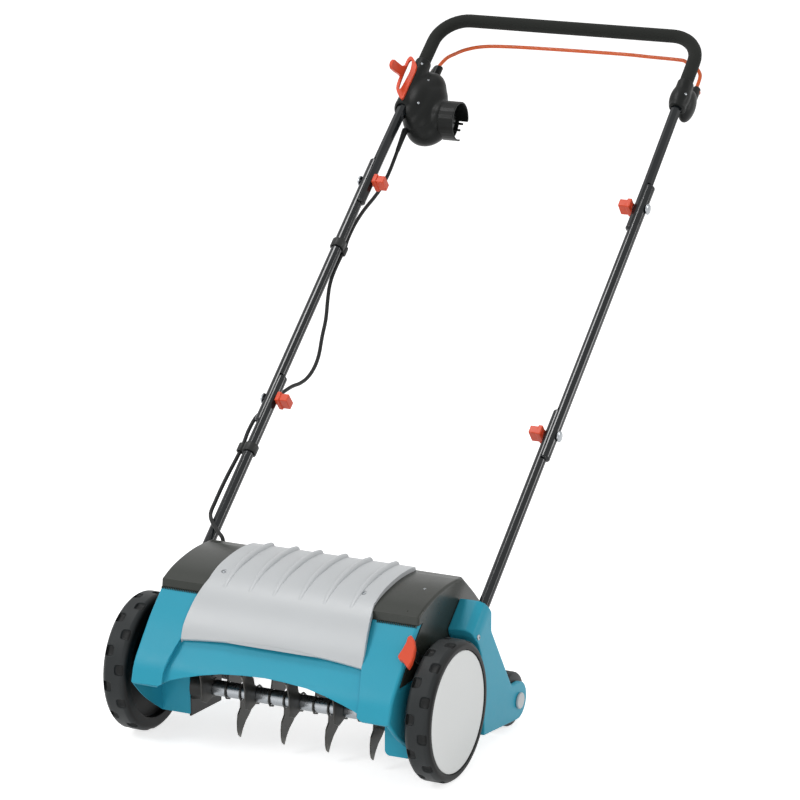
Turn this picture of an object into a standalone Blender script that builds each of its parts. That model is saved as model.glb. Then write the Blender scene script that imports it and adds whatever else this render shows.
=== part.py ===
# Electric lawn scarifier: a two-wheel-pair machine with a blade shaft under a wide housing
# and a folding three-section handle. Metres, +Z up, the machine drives towards -Y.
# Lengths along the deck count from the front axle line on the ground. The handle has its own
# frame: x across, s along the tubes from the lower fold bolts, h square to them, upwards.
import bpy
import bmesh
from math import atan2, cos, hypot, pi, radians, sin, sqrt
from mathutils import Matrix, Vector

# Fits
GAP = 0.0003
RUN_GAP = 0.0010
SHEET = 0.0030

# Wheels
HOUSING_X = 0.2021
WHEEL_R = 0.100
WHEEL_WIDTH = 0.038
WHEEL_OUTER_X = HOUSING_X + 0.0535
DISC_R = 0.0863
DISC_THICK = 0.0070
AXLE_R = 0.0060
REAR_R = 0.040
REAR_WIDTH = 0.033
REAR_AXLE_Y = 0.229
REAR_PIN_R = 0.0050
CAP_R = 0.0120
CAP_THICK = 0.0040

# Housing
TUNNEL_X = 0.1545
PANEL_X = 0.1520
PANEL_SINK = 0.0080
FRONT_END_Y = 0.0205
SKIRT_Y = -0.0240
SKIRT_LOW = 0.0390
CHAMBER_X = HOUSING_X - 0.0366
CHAMBER_Y = -0.0480
SKIRT_TOP = 0.1120
ARCH_HALF = TUNNEL_X + 0.0105
ARCH = ((1.0, 0.0960), (0.9770, 0.1040), (0.9515, 0.1090), (0.8667, 0.1160), (0.7455, 0.1222),
        (0.5879, 0.1288), (0.4061, 0.1342), (0.2061, 0.1368), (0.0, 0.1380))
SPLIT_Y = 0.0140
SPLIT_Z = 0.1500
NOSE = ((-0.0174, 0.2220), (-0.0498, 0.1932), (-0.0790, 0.1610), (-0.1000, 0.1350), (-0.1095, 0.1080))
KEEL = ((-0.1095, 0.1080), (-0.0825, 0.0812), (-0.0550, 0.0600), (-0.0240, 0.0390))
COVER_TOP = ((-0.0155, 0.2338), (0.0100, 0.2433), (0.0420, 0.2495), (0.0740, 0.2525), (0.1010, 0.2523),
             (0.1280, 0.2503), (0.1585, 0.2250), (0.1830, 0.2000))
COVER_BACK_LOW = 0.1150
COVER_SIDE_LOW = 0.1720
CENTRE_TOP = ((-0.0707, 0.1685), (-0.0630, 0.1870), (-0.0480, 0.2085), (-0.0300, 0.2265), (-0.0080, 0.2410),
              (0.0180, 0.2515), (0.0450, 0.2565), (0.0750, 0.2592), (0.1070, 0.2585), (0.1250, 0.2560))
CENTRE_LOW_HALF = 0.1416
CENTRE_TOP_HALF = 0.1300
CENTRE_ARCH = 0.0080
CENTRE_THICK = 0.0025
LID_LIP = 0.0060

# Blade shaft
SHAFT_Y = -0.0040
SHAFT_Z = 0.0780
SPACER_R = 0.01125
SHAFT_END_R = 0.0075
TUNNEL_R = 0.0750
TUNNEL_REAR_DEG = 11.0
BEARING_R = 0.0160
BEARING_WIDTH = 0.0100
BLADE_COUNT = 12
BLADE_PITCH = 0.0233
LAST_BLADE_X = 0.1315
BLADE_THICK = 0.0022
BLADE_HUB_R = 0.0146
BLADE_STEP_DEG = 120.0
CLAW_FRONT = ((-0.0106, -0.0197), (-0.0183, -0.0276), (-0.0203, -0.0390), (-0.0200, -0.0510),
              (-0.0172, -0.0590), (-0.0115, -0.0640))
CLAW_REAR = ((-0.0051, -0.0535), (0.0040, -0.0442), (0.0160, -0.0370), (0.0270, -0.0280), (0.0262, -0.0140))

# Drive
MOTOR_Y = 0.0850
MOTOR_Z = 0.1950
MOTOR_R = 0.0400
MOTOR_HALF = 0.0850
MOTOR_X = 0.0250
ROTOR_R = 0.0260
ROTOR_SHAFT_R = 0.0040
PULLEY_X = HOUSING_X - 0.0231
BELT_WIDTH = 0.0100
BELT_THICK = 0.0030
PULLEY_R = 0.0300
PINION_R = 0.0120
PULLEY_RIM = 0.0015

# Depth crank
CRANK_Y = 0.0850
CRANK_Z = 0.1000
CRANK_R = 0.0060
ARM_X = HOUSING_X + 0.0024
ARM_THICK = 0.0060
ARM_HALF = 0.0080
STEM_X = (ARM_X + 0.0010, ARM_X + 0.0050)
KNOB_Y = -0.0498
KNOB_Z = 0.1932
KNOB_SLOPE_DEG = 41.3
KNOB_LOW = 0.0030
KNOB_HIGH = 0.0120
KNOB = tuple((HOUSING_X + u, v) for u, v in (
    (-0.0003, 0.0231), (0.0065, 0.0170), (0.0122, 0.0052), (0.0144, -0.0072), (0.0149, -0.0182),
    (0.0134, -0.0273), (0.0085, -0.0242), (0.0018, -0.0182), (-0.0050, -0.0162), (-0.0080, -0.0119),
    (-0.0052, -0.0010), (-0.0033, 0.0106), (-0.0042, 0.0192)))

# Side frames
SIDE_X = HOUSING_X + 0.0429
ARM_OUTER_X = SIDE_X + 0.0001
SIDE_INNER_X = HOUSING_X - 0.0036
SIDE_WALL = 0.0040
BLOCK = ((0.0758, 0.1911), (0.1155, 0.2239), (0.1326, 0.2032), (0.1326, 0.1210), (0.1046, 0.1210),
         (0.1019, 0.1374), (0.0967, 0.1530), (0.0890, 0.1677), (0.0792, 0.1809))
BOSS = ((0.0450, 0.0280), (0.0300, 0.0300), (0.0160, 0.0303), (0.0093, 0.0281), (0.0049, 0.0256),
        (0.0028, 0.0219), (0.0010, 0.0169), (0.0, 0.0100), (0.0, -0.1200), (0.0450, -0.1200))
FLANK = ((0.1080, 0.0272), (0.1080, 0.1200), (0.0990, 0.1520), (0.1080, 0.1680), (0.1310, 0.1772),
         (0.1811, 0.1039), (0.2040, 0.0700))
INNER_PLATE = ((0.0208, 0.0480), (0.0208, COVER_SIDE_LOW - GAP), (0.1490, COVER_SIDE_LOW - GAP),
               (0.1490, 0.0700), (0.1300, 0.0480))
WEB = ((0.1088, 0.0500), (0.1088, 0.1205), (0.1030, 0.1450), (0.1150, 0.1500), (0.1150, 0.0500))
FLANK_REAR_R = 0.0280

# Handle
TUBE_R = 0.0085
TUBE_WALL = 0.0012
LEG_X = HOUSING_X + 0.0254
MID_LEG_X = LEG_X + 0.0047
GRIP_X = LEG_X - 0.0035
SLOPE_DEG = 39.6
FOLD_Y = 0.3723
FOLD_Z = 0.3974
MID_LENGTH = 0.4280
GRIP_REACH = 0.3450
BEND_R = 0.0500
SOCKET_S = -0.3400
LAP = 0.0400
LAP_CLEAR = 0.0050
FOAM_R = TUBE_R + 0.0022
FOAM_END = 0.0930
BOLT_R = 0.0030
HEAD_R = 0.0085
HEAD_THICK = 0.0045
NUT_HUB_R = 0.0075
NUT_LENGTH = 0.0170
WING_LENGTH = 0.0240
WING_THICK = 0.0070

# Switch box, bracket, hook and bail, s counted from the upper fold bolts
BOX_SPLIT = -0.0152
BOX_TOP = 0.0120
BOX_BASE = -0.0640
BOX_SHELL = 0.90
BOX_TOP_PLAN = tuple((u - LEG_X, v) for u, v in (
    (-0.0075, 0.1450), (-0.0117, 0.1560), (-0.0120, 0.2300), (-0.0055, 0.2420), (0.0075, 0.2460),
    (0.0195, 0.2430), (0.0405, 0.2200), (0.0535, 0.2040), (0.0635, 0.1880), (0.0705, 0.1720),
    (0.0705, 0.1480), (0.0595, 0.1290), (0.0375, 0.1210), (0.0125, 0.1300)))
BOX_BASE_PLAN = tuple((u - LEG_X, v) for u, v in (
    (-0.0095, 0.1500), (-0.0113, 0.1600), (-0.0113, 0.2250), (-0.0025, 0.2540), (0.0125, 0.2620),
    (0.0215, 0.2520), (0.0315, 0.2350), (0.0475, 0.2130), (0.0595, 0.1900), (0.0655, 0.1650),
    (0.0635, 0.1400), (0.0515, 0.1240), (0.0345, 0.1180), (0.0155, 0.1250), (0.0005, 0.1380)))
BOX_SIDE = ((0.1180, -0.0300), (0.1300, 0.0020), (0.1500, 0.0110), (0.2350, 0.0120), (0.2460, 0.0080),
            (0.2620, -0.0150), (0.2620, -0.0500), (0.2350, -0.0620), (0.1500, -0.0640), (0.1220, -0.0520))
INLET_S = 0.1648
INLET_H = -0.0350
INLET_R = 0.0315
INLET_WALL = 0.0025
INLET_FLOOR = 0.0030
INLET_X = (0.0625 - LEG_X, 0.0885 - LEG_X)
NOTCH_H = -0.0225
NOTCH_DEPTH = 0.0160
PIN_R = 0.0020
PIN_SPREAD = 0.0065
PIN_H = -0.0140
BRACKET_PLAN = tuple((LEG_X + u, v) for u, v in (
    (-0.0070, 0.1840), (-0.0150, 0.2040), (-0.0155, 0.2260), (-0.0080, 0.2480), (0.0095, 0.2500),
    (0.0145, 0.2400), (0.0150, 0.2060), (0.0075, 0.1900)))
BRACKET_SIDE = ((0.1860, 0.0080), (0.2050, 0.0125), (0.2500, 0.0125), (0.2520, -0.0100), (0.2520, -0.0340),
                (0.2100, -0.0370), (0.1960, -0.0300), (0.1870, -0.0120))
HOOK_H = (0.0127, 0.0167)
HOOK_PLAN = tuple((u - LEG_X, v) for u, v in (
    (-0.0166, 0.2459), (-0.0131, 0.2480), (-0.0064, 0.2424), (0.0030, 0.2300), (0.0050, 0.2145), (0.0046, 0.1888),
    (0.0046, 0.1640), (0.0020, 0.1590), (-0.0061, 0.1666), (-0.0147, 0.1792), (-0.0176, 0.1942), (-0.0181, 0.2092),
    (-0.0181, 0.2291), (-0.0182, 0.2398)))
HOOK_SLOT = tuple((u - LEG_X, v) for u, v in (
    (-0.0120, 0.2404), (-0.0086, 0.2377), (-0.0045, 0.2198), (-0.0053, 0.1984), (-0.0073, 0.1800), (-0.0100, 0.1805),
    (-0.0118, 0.1886), (-0.0130, 0.2083), (-0.0140, 0.2280)))
FINGER_X = (-LEG_X - 0.0180, -LEG_X - 0.0125)
FINGER = ((0.2050, 0.0140), (0.2007, 0.0256), (0.1935, 0.0400), (0.1890, 0.0520), (0.1900, 0.0590), (0.1960, 0.0612),
          (0.2032, 0.0586), (0.2075, 0.0480), (0.2150, 0.0310), (0.2240, 0.0200), (0.2340, 0.0140))
BAIL_R = 0.0030
BAIL_X = LEG_X - 0.0050
BAIL_FOOT = 0.0070
BAIL_BOSS_R = 0.0075
BAIL_BOSS_X = (LEG_X - 0.0012, LEG_X + 0.0048)
BOSS_ARM = ((0.2430, -0.0230), (0.2430, -0.0350), (0.2440, -0.0480), (0.2650, -0.0522), (0.2790, -0.0490),
            (0.2720, -0.0380))
BAIL_S = 0.2720
BAIL_H = -0.0450
BAIL_REACH = 0.0662
BAIL_LINE = ((-0.9969, 0.0137), (-0.9667, 0.0295), (-0.9182, 0.0392), (-0.8539, 0.0493), (-0.7483, 0.0580),
             (-0.5955, 0.0624), (-0.2827, 0.0647), (0.3380, BAIL_REACH), (0.5703, 0.0649), (0.8009, 0.0635),
             (0.8508, 0.0604), (0.9169, 0.0540), (0.9685, 0.0440), (0.9955, 0.0330), (1.0013, 0.0156))
BUTTON_R = 0.0055
BUTTON_X = 0.0165 - LEG_X
BUTTON_H = -0.0300
BUTTON_S = (0.2350, 0.2680)

# Lead, 6 mm
LEAD_R = 0.0030
CLIP_LENGTH = 0.0140
LEAD_UPPER = ((-0.2213, 0.1420, -0.0255), (-0.2200, 0.1290, -0.0245), (-0.2185, 0.1120, -0.0235),
              (-0.2165, 0.0850, -0.0225), (-0.2220, 0.0450, -0.0350),
              (-0.2320, 0.0150, -0.0450), (-0.2333, -0.0330, -0.0300), (-0.2320, -0.0700, -0.0200),
              (-0.2300, -0.1020, -0.0155), (-0.2280, -0.1180, -0.0145), (-0.2280, -0.1275, -0.0145))
LEAD_LOWER = ((-0.2280, 0.2995, -0.0145), (-0.2280, 0.2890, -0.0145), (-0.2290, 0.2620, -0.0155),
              (-0.2323, 0.2420, -0.0250),
              (-0.2350, 0.2247, -0.0420), (-0.2315, 0.1960, -0.0550), (-0.2306, 0.1700, -0.0640),
              (-0.2290, 0.1410, -0.0750), (-0.2295, 0.1180, -0.0780), (-0.2300, 0.0950, -0.0720),
              (-0.2315, 0.0760, -0.0610), (-0.2330, 0.0600, -0.0470), (-0.2345, 0.0405, -0.0340),
              (-0.2350, 0.0220, -0.0230), (-0.2380, 0.0040, -0.0165), (-0.2430, -0.0130, -0.0130),
              (-0.2455, -0.0330, -0.0060), (-0.2450, -0.0600, -0.0020), (-0.2425, -0.0830, 0.0000),
              (-0.2425, -0.1030, 0.0000), (-0.2450, -0.1390, 0.0000), (-0.2455, -0.1650, 0.0010),
              (-0.2450, -0.1935, 0.0020), (-0.2410, -0.2180, 0.0070), (-0.2270, -0.2370, 0.0145),
              (-0.2110, -0.2520, 0.0170), (-0.1990, -0.2620, 0.0190), (-0.1960, -0.2690, 0.0130))
CLIP_MID_S = -0.1280
CLIP_LOW_S = -0.0930
CLIP_MID_LEAD = (0.0042 - MID_LEG_X, -0.0145)
CLIP_LOW_LEAD = (-LEG_X - 0.0150, 0.0)

SLOPE = radians(SLOPE_DEG)
BACK_Y = FOLD_Y + (MID_LENGTH + BAIL_S + BAIL_REACH) * cos(SLOPE) - BAIL_H * sin(SLOPE) + BAIL_R
FRONT_AXLE_Y = -(BACK_Y + NOSE[-1][0]) / 2
SIDEWAYS = (pi / 2, 0.0, pi / 2)
ALONG_X = (0.0, pi / 2, 0.0)
WHEEL_SIDES = 40

for old in list(bpy.data.objects):
    bpy.data.objects.remove(old)

parts = bpy.data.collections.new("lawn_scarifier")
cutters = bpy.data.collections.new("cutters")
bpy.context.scene.collection.children.link(parts)
bpy.context.scene.collection.children.link(cutters)


# Materials
def paint(name, rgb, roughness, metallic=0.0):
    """A Principled material from a colour in 0-255 screen values."""
    made = bpy.data.materials.new(name)
    made.use_nodes = True
    shader = made.node_tree.nodes["Principled BSDF"]
    linear = [((c / 255 + 0.055) / 1.055) ** 2.4 if c > 10 else c / 255 / 12.92 for c in rgb]
    shader.inputs["Base Color"].default_value = (*linear, 1.0)
    shader.inputs["Roughness"].default_value = roughness
    shader.inputs["Metallic"].default_value = metallic
    made.diffuse_color = (*linear, 1.0)
    return made


TEAL = paint("teal_plastic", (60, 158, 184), 0.38)
ANTHRACITE = paint("anthracite_plastic", (72, 73, 70), 0.40)
GREY = paint("light_grey_plastic", (200, 202, 205), 0.35)
BLACK = paint("black_plastic", (40, 41, 40), 0.50)
ORANGE = paint("orange_plastic", (222, 80, 50), 0.40)
BAIL_ORANGE = paint("orange_coating", (205, 95, 50), 0.35)
TYRE = paint("tyre_plastic", (52, 55, 56), 0.60)
GLOSS_BLACK = paint("black_enamel", (38, 42, 44), 0.20)
FOAM = paint("foam", (40, 40, 38), 0.90)
STEEL = paint("bright_steel", (200, 202, 204), 0.25, 1.0)
DARK_STEEL = paint("blade_steel", (58, 58, 55), 0.40, 0.8)
BELT = paint("belt_rubber", (30, 30, 30), 0.80)
COPPER = paint("motor_steel", (120, 118, 116), 0.45, 0.9)
LEAD = paint("lead_rubber", (45, 46, 46), 0.60)


# Shape helpers
def linked(name, mesh, home=parts):
    made = bpy.data.objects.new(name, mesh)
    home.objects.link(made)
    return made


def settled(made):
    """Turns a curve or an object with modifiers into a plain closed mesh, faces out."""
    bpy.context.view_layer.update()
    graph = bpy.context.evaluated_depsgraph_get()
    mesh = bpy.data.meshes.new_from_object(made.evaluated_get(graph))
    work = bmesh.new()
    work.from_mesh(mesh)
    bmesh.ops.remove_doubles(work, verts=work.verts, dist=1e-6)
    bmesh.ops.recalc_face_normals(work, faces=work.faces)
    work.to_mesh(mesh)
    work.free()
    name = made.name
    home = made.users_collection[0]
    bpy.data.objects.remove(made)
    return linked(name, mesh, home)


def flat(name, outline, thickness, home=parts):
    """A closed outline in local x, y with half its thickness on either side."""
    curve = bpy.data.curves.new(name, "CURVE")
    curve.dimensions = "2D"
    curve.fill_mode = "BOTH"
    curve.extrude = thickness / 2
    line = curve.splines.new("POLY")
    line.points.add(len(outline) - 1)
    for point, (u, v) in zip(line.points, outline):
        point.co = (u, v, 0.0, 1.0)
    line.use_cyclic_u = True
    return settled(linked(name, curve, home))


def prism(name, outline, x0, x1, home=parts):
    """An outline in (y, z) carried from x0 to x1."""
    made = flat(name, outline, x1 - x0, home)
    made.rotation_euler = SIDEWAYS
    made.location = ((x0 + x1) / 2, 0.0, 0.0)
    return baked(made)


def baked(made):
    """Moves an object's own placement into its mesh, so its origin is its pivot."""
    bpy.context.view_layer.update()
    made.data.transform(made.matrix_basis)
    made.location = (0.0, 0.0, 0.0)
    made.rotation_euler = (0.0, 0.0, 0.0)
    return made


def cylinder(name, radius, x0, x1, centre=(0.0, 0.0), sides=24, home=parts):
    """A cylinder along x, at (y, z)."""
    mesh = bpy.data.meshes.new(name)
    work = bmesh.new()
    bmesh.ops.create_cone(work, cap_ends=True, segments=sides, radius1=radius, radius2=radius, depth=x1 - x0)
    work.to_mesh(mesh)
    work.free()
    made = linked(name, mesh, home)
    made.rotation_euler = ALONG_X
    made.location = ((x0 + x1) / 2, *centre)
    return baked(made)


def post(name, radius, start, end, sides=20, home=parts):
    """A cylinder from one point to another."""
    a, b = Vector(start), Vector(end)
    mesh = bpy.data.meshes.new(name)
    work = bmesh.new()
    bmesh.ops.create_cone(work, cap_ends=True, segments=sides, radius1=radius, radius2=radius,
                          depth=(b - a).length)
    work.to_mesh(mesh)
    work.free()
    made = linked(name, mesh, home)
    made.rotation_euler = (b - a).to_track_quat("Z", "Y").to_euler()
    made.location = (a + b) / 2
    return baked(made)


def box(name, low, high, home=parts):
    mesh = bpy.data.meshes.new(name)
    work = bmesh.new()
    bmesh.ops.create_cube(work, size=1.0)
    size = [b - a for a, b in zip(low, high)]
    middle = [(a + b) / 2 for a, b in zip(low, high)]
    bmesh.ops.scale(work, vec=size, verts=work.verts)
    bmesh.ops.translate(work, vec=middle, verts=work.verts)
    work.to_mesh(mesh)
    work.free()
    return linked(name, mesh, home)


def turned(name, profile, sides=WHEEL_SIDES, home=parts):
    """A closed profile of (radius, x) spun about x, with one flat facet facing down."""
    mesh = bpy.data.meshes.new(name)
    half = pi / sides
    points = [(r, 0.0, x) for r, x in profile]
    count = len(points)
    mesh.from_pydata(points, [(i, (i + 1) % count) for i in range(count)], [])
    made = linked(name, mesh, home)
    screw = made.modifiers.new("turn", "SCREW")
    screw.axis = "Z"
    screw.steps = sides
    screw.render_steps = sides
    screw.use_merge_vertices = True
    screw.merge_threshold = 0.00001
    made = settled(made)
    made.rotation_euler = (half, 0.0, 0.0)
    made.data.transform(Matrix.Rotation(pi / 2, 4, "Y"))
    return baked(made)


def tube(name, points, radius, resolution=3, home=parts):
    """A bevelled curve through the points, its ends capped, as a mesh."""
    curve = bpy.data.curves.new(name, "CURVE")
    curve.dimensions = "3D"
    curve.bevel_depth = radius
    curve.bevel_resolution = resolution
    curve.use_fill_caps = True
    line = curve.splines.new("POLY")
    line.points.add(len(points) - 1)
    for point, place in zip(line.points, points):
        point.co = (*place, 1.0)
    return settled(linked(name, curve, home))


def smooth(points, steps, closed=False):
    """Catmull-Rom points through the given ones."""
    found = []
    count = len(points)
    last = count if closed else count - 1
    for i in range(last):
        if closed:
            a, b, c, d = (points[(i + k) % count] for k in (-1, 0, 1, 2))
        else:
            b, c = points[i], points[i + 1]
            a = points[i - 1] if i else [2 * p - q for p, q in zip(b, c)]
            d = points[i + 2] if i + 2 < count else [2 * q - p for p, q in zip(b, c)]
        for k in range(steps):
            t = k / steps
            found.append(tuple(
                0.5 * (2 * q + (r - p) * t + (2 * p - 5 * q + 4 * r - w) * t * t
                       + (3 * q - p - 3 * r + w) * t ** 3)
                for p, q, r, w in zip(a, b, c, d)))
    if not closed:
        found.append(tuple(points[-1]))
    return found


def inset(points, depth):
    """An open line moved square to itself, to its left for a positive depth."""
    moved = []
    for i, point in enumerate(points):
        before = points[max(i - 1, 0)]
        after = points[min(i + 1, len(points) - 1)]
        u, v = after[0] - before[0], after[1] - before[1]
        size = hypot(u, v)
        moved.append((point[0] - v / size * depth, point[1] + u / size * depth))
    return moved


def arc(centre, radius, start, end, steps):
    """Points on an arc, angles in degrees."""
    turns = [radians(start + (end - start) * k / steps) for k in range(steps + 1)]
    return [(centre[0] + radius * cos(t), centre[1] + radius * sin(t)) for t in turns]


def combine(made, other, operation):
    """A Boolean with a helper object, which is put away as a guide."""
    step = made.modifiers.new(operation.lower(), "BOOLEAN")
    step.operation = operation
    step.solver = "EXACT"
    step.object = other
    other.hide_render = True
    other.display_type = "WIRE"
    other.parent = made
    return made


def cut(made, cutter):
    return combine(made, cutter, "DIFFERENCE")


def join(made, other):
    return combine(made, other, "UNION")


def keep(made, cutter):
    return combine(made, cutter, "INTERSECT")


def finish(made, material, pivot, origin=(0.0, 0.0, 0.0)):
    """Gives a piece its material, its smooth faces and its parent pivot."""
    made.data.materials.append(material)
    made.data.shade_smooth()
    made.data.set_sharp_from_angle(angle=radians(32))
    made.parent = pivot
    made.location = origin
    return made


def pivot(name, parent, place, turn=0.0):
    made = linked(name, None)
    made.empty_display_size = 0.03
    made.parent = parent
    made.location = place
    made.rotation_euler = (turn, 0.0, 0.0)
    return made


# Pivots: each stands on its joint's axis
frame = linked("deck_frame", None)
frame.location = (0.0, FRONT_AXLE_Y, 0.0)
handle_base = pivot("handle_base", frame, (0.0, FOLD_Y, FOLD_Z), SLOPE)
lower_fold = pivot("lower_fold_axis", frame, (0.0, FOLD_Y, FOLD_Z), SLOPE)
upper_fold = pivot("upper_fold_axis", lower_fold, (0.0, MID_LENGTH, 0.0))
crank_axis = pivot("crank_axis", frame, (0.0, CRANK_Y, CRANK_Z))
shaft_axis = pivot("shaft_axis", frame, (0.0, SHAFT_Y, SHAFT_Z))
motor_axis = pivot("motor_axis", frame, (0.0, MOTOR_Y, MOTOR_Z))
bail_axis = pivot("bail_axis", upper_fold, (0.0, BAIL_S, BAIL_H))


# Front shell: nose sheet, side walls, skirts and the arch over the blades
nose = smooth(NOSE, 3)
keel = smooth(KEEL, 3)
rear_edge = [(FRONT_END_Y, KEEL[-1][1]), (FRONT_END_Y, NOSE[0][1])]


def behind(depth):
    """The space behind the nose sheet, open above, below and behind."""
    line = inset(nose, depth)
    top, low = line[0], line[-1]
    return [(top[0], 0.30), *line, (low[0], -0.02), (0.08, -0.02), (0.08, 0.30)]


def split(gap):
    """The line on the sides where the hood's cheek takes over from the shell, a gap behind it."""
    (y0, z0), (y1, z1) = NOSE[2:4]
    foot = y0 + (y1 - y0) * (z0 - SPLIT_Z) / (z0 - z1)
    return [*((y + SPLIT_Y + gap, z) for y, z in NOSE[:3]), (foot + SPLIT_Y + gap, SPLIT_Z + gap)]


shell = prism("front_shell", [*nose, *keel[1:], *rear_edge], -HOUSING_X, HOUSING_X)
sheet_low = inset(nose, PANEL_SINK)
front_of_panel = [(-0.20, 0.30), (NOSE[0][0] + 0.004, 0.30), *sheet_low, (sheet_low[-1][0], -0.02),
                  (-0.20, -0.02)]
for side in (-1, 1):
    inner, outer = PANEL_X + SHEET, HOUSING_X - SHEET
    low, high = sorted((side * inner, side * outer))
    cut(shell, prism("column_hollow", behind(SHEET), low, high, cutters))
cut(shell, prism("panel_hollow", behind(PANEL_SINK + SHEET), -PANEL_X - SHEET - 0.0001, PANEL_X + SHEET + 0.0001,
                 cutters))
cut(shell, prism("panel_recess", front_of_panel, -PANEL_X, PANEL_X, cutters))
line = split(0.0)
beyond = FRONT_END_Y + 0.01
for side in (-1, 1):
    cut(shell, prism("cheek_room", [(line[0][0], 0.30), *line, (beyond, SPLIT_Z), (beyond, 0.30)],
                     *sorted((side * (HOUSING_X - SHEET - 0.0001), side * (HOUSING_X + 0.01))), cutters))
half_arch = [(ARCH_HALF * share, z) for share, z in ARCH]
arch = [(-ARCH_HALF, -0.02), *((-x, z) for x, z in half_arch), *reversed(half_arch[:-1]), (ARCH_HALF, -0.02)]
arch_cutter = flat("arch_opening", arch, 0.16, cutters)
arch_cutter.rotation_euler = (pi / 2, 0.0, 0.0)
arch_cutter.location = (0.0, SKIRT_Y - 0.0820, 0.0)
cut(shell, baked(arch_cutter))
skirt_end = HOUSING_X - SHEET / 2
join(shell, box("skirt", (-skirt_end, SKIRT_Y, SKIRT_LOW), (-TUNNEL_X, SKIRT_Y + SHEET, SKIRT_TOP), cutters))
join(shell, box("skirt", (CHAMBER_X, CHAMBER_Y, SKIRT_LOW), (skirt_end, CHAMBER_Y + SHEET, SKIRT_TOP), cutters))
join(shell, box("chamber_wall", (CHAMBER_X, CHAMBER_Y + SHEET / 2, SKIRT_LOW),
                (CHAMBER_X + SHEET, SKIRT_Y + SHEET, SKIRT_TOP), cutters))
finish(shell, TEAL, frame)


# Blade tunnel: roof, end walls and the motor saddles, one black moulding
shaft_centre = (SHAFT_Y, SHAFT_Z)
roof_front = SKIRT_Y + SHEET + GAP
outer_roof = arc(shaft_centre, TUNNEL_R + SHEET, TUNNEL_REAR_DEG, 90, 8)
inner_roof = arc(shaft_centre, TUNNEL_R, TUNNEL_REAR_DEG - 4, 90, 8)
wall_low = SKIRT_LOW - 0.0040
tunnel = prism("blade_tunnel", [*outer_roof, (-0.0620, SHAFT_Z + TUNNEL_R + SHEET), (-0.0620, 0.1300),
                                (roof_front, SKIRT_TOP + 2 * GAP), (roof_front, wall_low), (0.0690, wall_low - 0.0060)],
               -TUNNEL_X - SHEET, TUNNEL_X + SHEET)
cut(tunnel, prism("tunnel_space", [*inner_roof, (-0.1200, SHAFT_Z + TUNNEL_R), (-0.1200, -0.02), (0.12, -0.02),
                                   (0.12, inner_roof[0][1])], -TUNNEL_X, TUNNEL_X, cutters))
cut(tunnel, cylinder("bearing_seats", BEARING_R + GAP, -0.25, 0.25, shaft_centre, 24, cutters))
saddle_line = [*arc(shaft_centre, TUNNEL_R + SHEET / 2, 18, 60, 4), (0.0350, 0.1750), (0.1180, 0.1750)]
for x in (MOTOR_X - 0.060, MOTOR_X + 0.050):
    join(tunnel, prism("saddle", saddle_line, x, x + 0.006, cutters))
cut(tunnel, cylinder("motor_seat", MOTOR_R + GAP, MOTOR_X - 0.12, MOTOR_X + 0.12, (MOTOR_Y, MOTOR_Z), 28, cutters))
finish(tunnel, BLACK, frame)


# Motor cover: anthracite hood over the motor, from the nose to the back wall
hood_front = [(NOSE[0][0], NOSE[0][1] + GAP), COVER_TOP[0]]
hood_back = [(COVER_TOP[-1][0] + 0.004, COVER_BACK_LOW)]
hood_line = [*hood_front, *smooth(COVER_TOP[:6], 3)[1:], *COVER_TOP[6:], *hood_back]
cheek_front = split(GAP)
cheek_front[0] = (cheek_front[0][0] + 2 * GAP, NOSE[0][1] + GAP)
hood = prism("motor_cover", [*hood_line, (0.1500, COVER_BACK_LOW), (0.1500, COVER_SIDE_LOW),
                             (FRONT_END_Y, COVER_SIDE_LOW), (FRONT_END_Y, SPLIT_Z + GAP),
                             *reversed(cheek_front)], -HOUSING_X, HOUSING_X)
inner_line = inset(hood_line, -SHEET)
cut(hood, prism("hood_space", [(-0.10, 0.05), (-0.10, 0.2150), (inner_line[0][0], 0.2150), *inner_line[1:-1],
                               (inner_line[-1][0], 0.05)], -HOUSING_X + SHEET, HOUSING_X - SHEET, cutters))
finish(hood, ANTHRACITE, frame)


# Centre cover: light grey lid, wider at its lower edge, over the hood and the nose
def lid_body(name, line, half_low, half_top, home=parts):
    """The space between a top line and the hood, tapering in plan from the nose to the back."""
    foot = [(NOSE[0][0] - 2 * GAP, NOSE[0][1]), *[(y - GAP, z + 2 * GAP) for y, z in COVER_TOP[:5]]]
    outline = [*line, (line[-1][0], foot[-1][1]), *reversed(foot), (CENTRE_TOP[0][0] + LID_LIP, CENTRE_TOP[0][1])]
    made = prism(name, outline, -half_low, half_low, home)
    plan = [(-half_low, -0.12), (half_low, -0.12), (half_low, CENTRE_TOP[1][0]), (half_top, CENTRE_TOP[4][0]),
            (half_top, 0.16), (-half_top, 0.16), (-half_top, CENTRE_TOP[4][0]), (-half_low, CENTRE_TOP[1][0])]
    shape = flat(name + "_plan", plan, 0.40, cutters)
    shape.location = (0.0, 0.0, 0.20)
    return keep(made, baked(shape))


lid_line = smooth(CENTRE_TOP, 2)
lid = lid_body("centre_cover", lid_line, CENTRE_LOW_HALF, CENTRE_TOP_HALF)
under = inset(lid_line, -CENTRE_THICK)
hollow = prism("lid_hollow", [(under[0][0] + 0.001, 0.10), *under[1:-1], (under[-2][0], 0.10)],
               -CENTRE_TOP_HALF + CENTRE_THICK, CENTRE_TOP_HALF - CENTRE_THICK, cutters)
cut(lid, hollow)
low_edge = [(CENTRE_LOW_HALF * 1.1 * k / 6, CENTRE_TOP[0][1] + CENTRE_ARCH * (1 - (k / 6 * 1.1) ** 2))
            for k in range(-6, 7)]
edge_cutter = flat("lid_edge", [(-0.16, 0.10), *low_edge, (0.16, 0.10)], 0.10, cutters)
edge_cutter.rotation_euler = (pi / 2, 0.0, 0.0)
edge_cutter.location = (0.0, -0.10, 0.0)
cut(lid, baked(edge_cutter))
finish(lid, GREY, frame)


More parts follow.
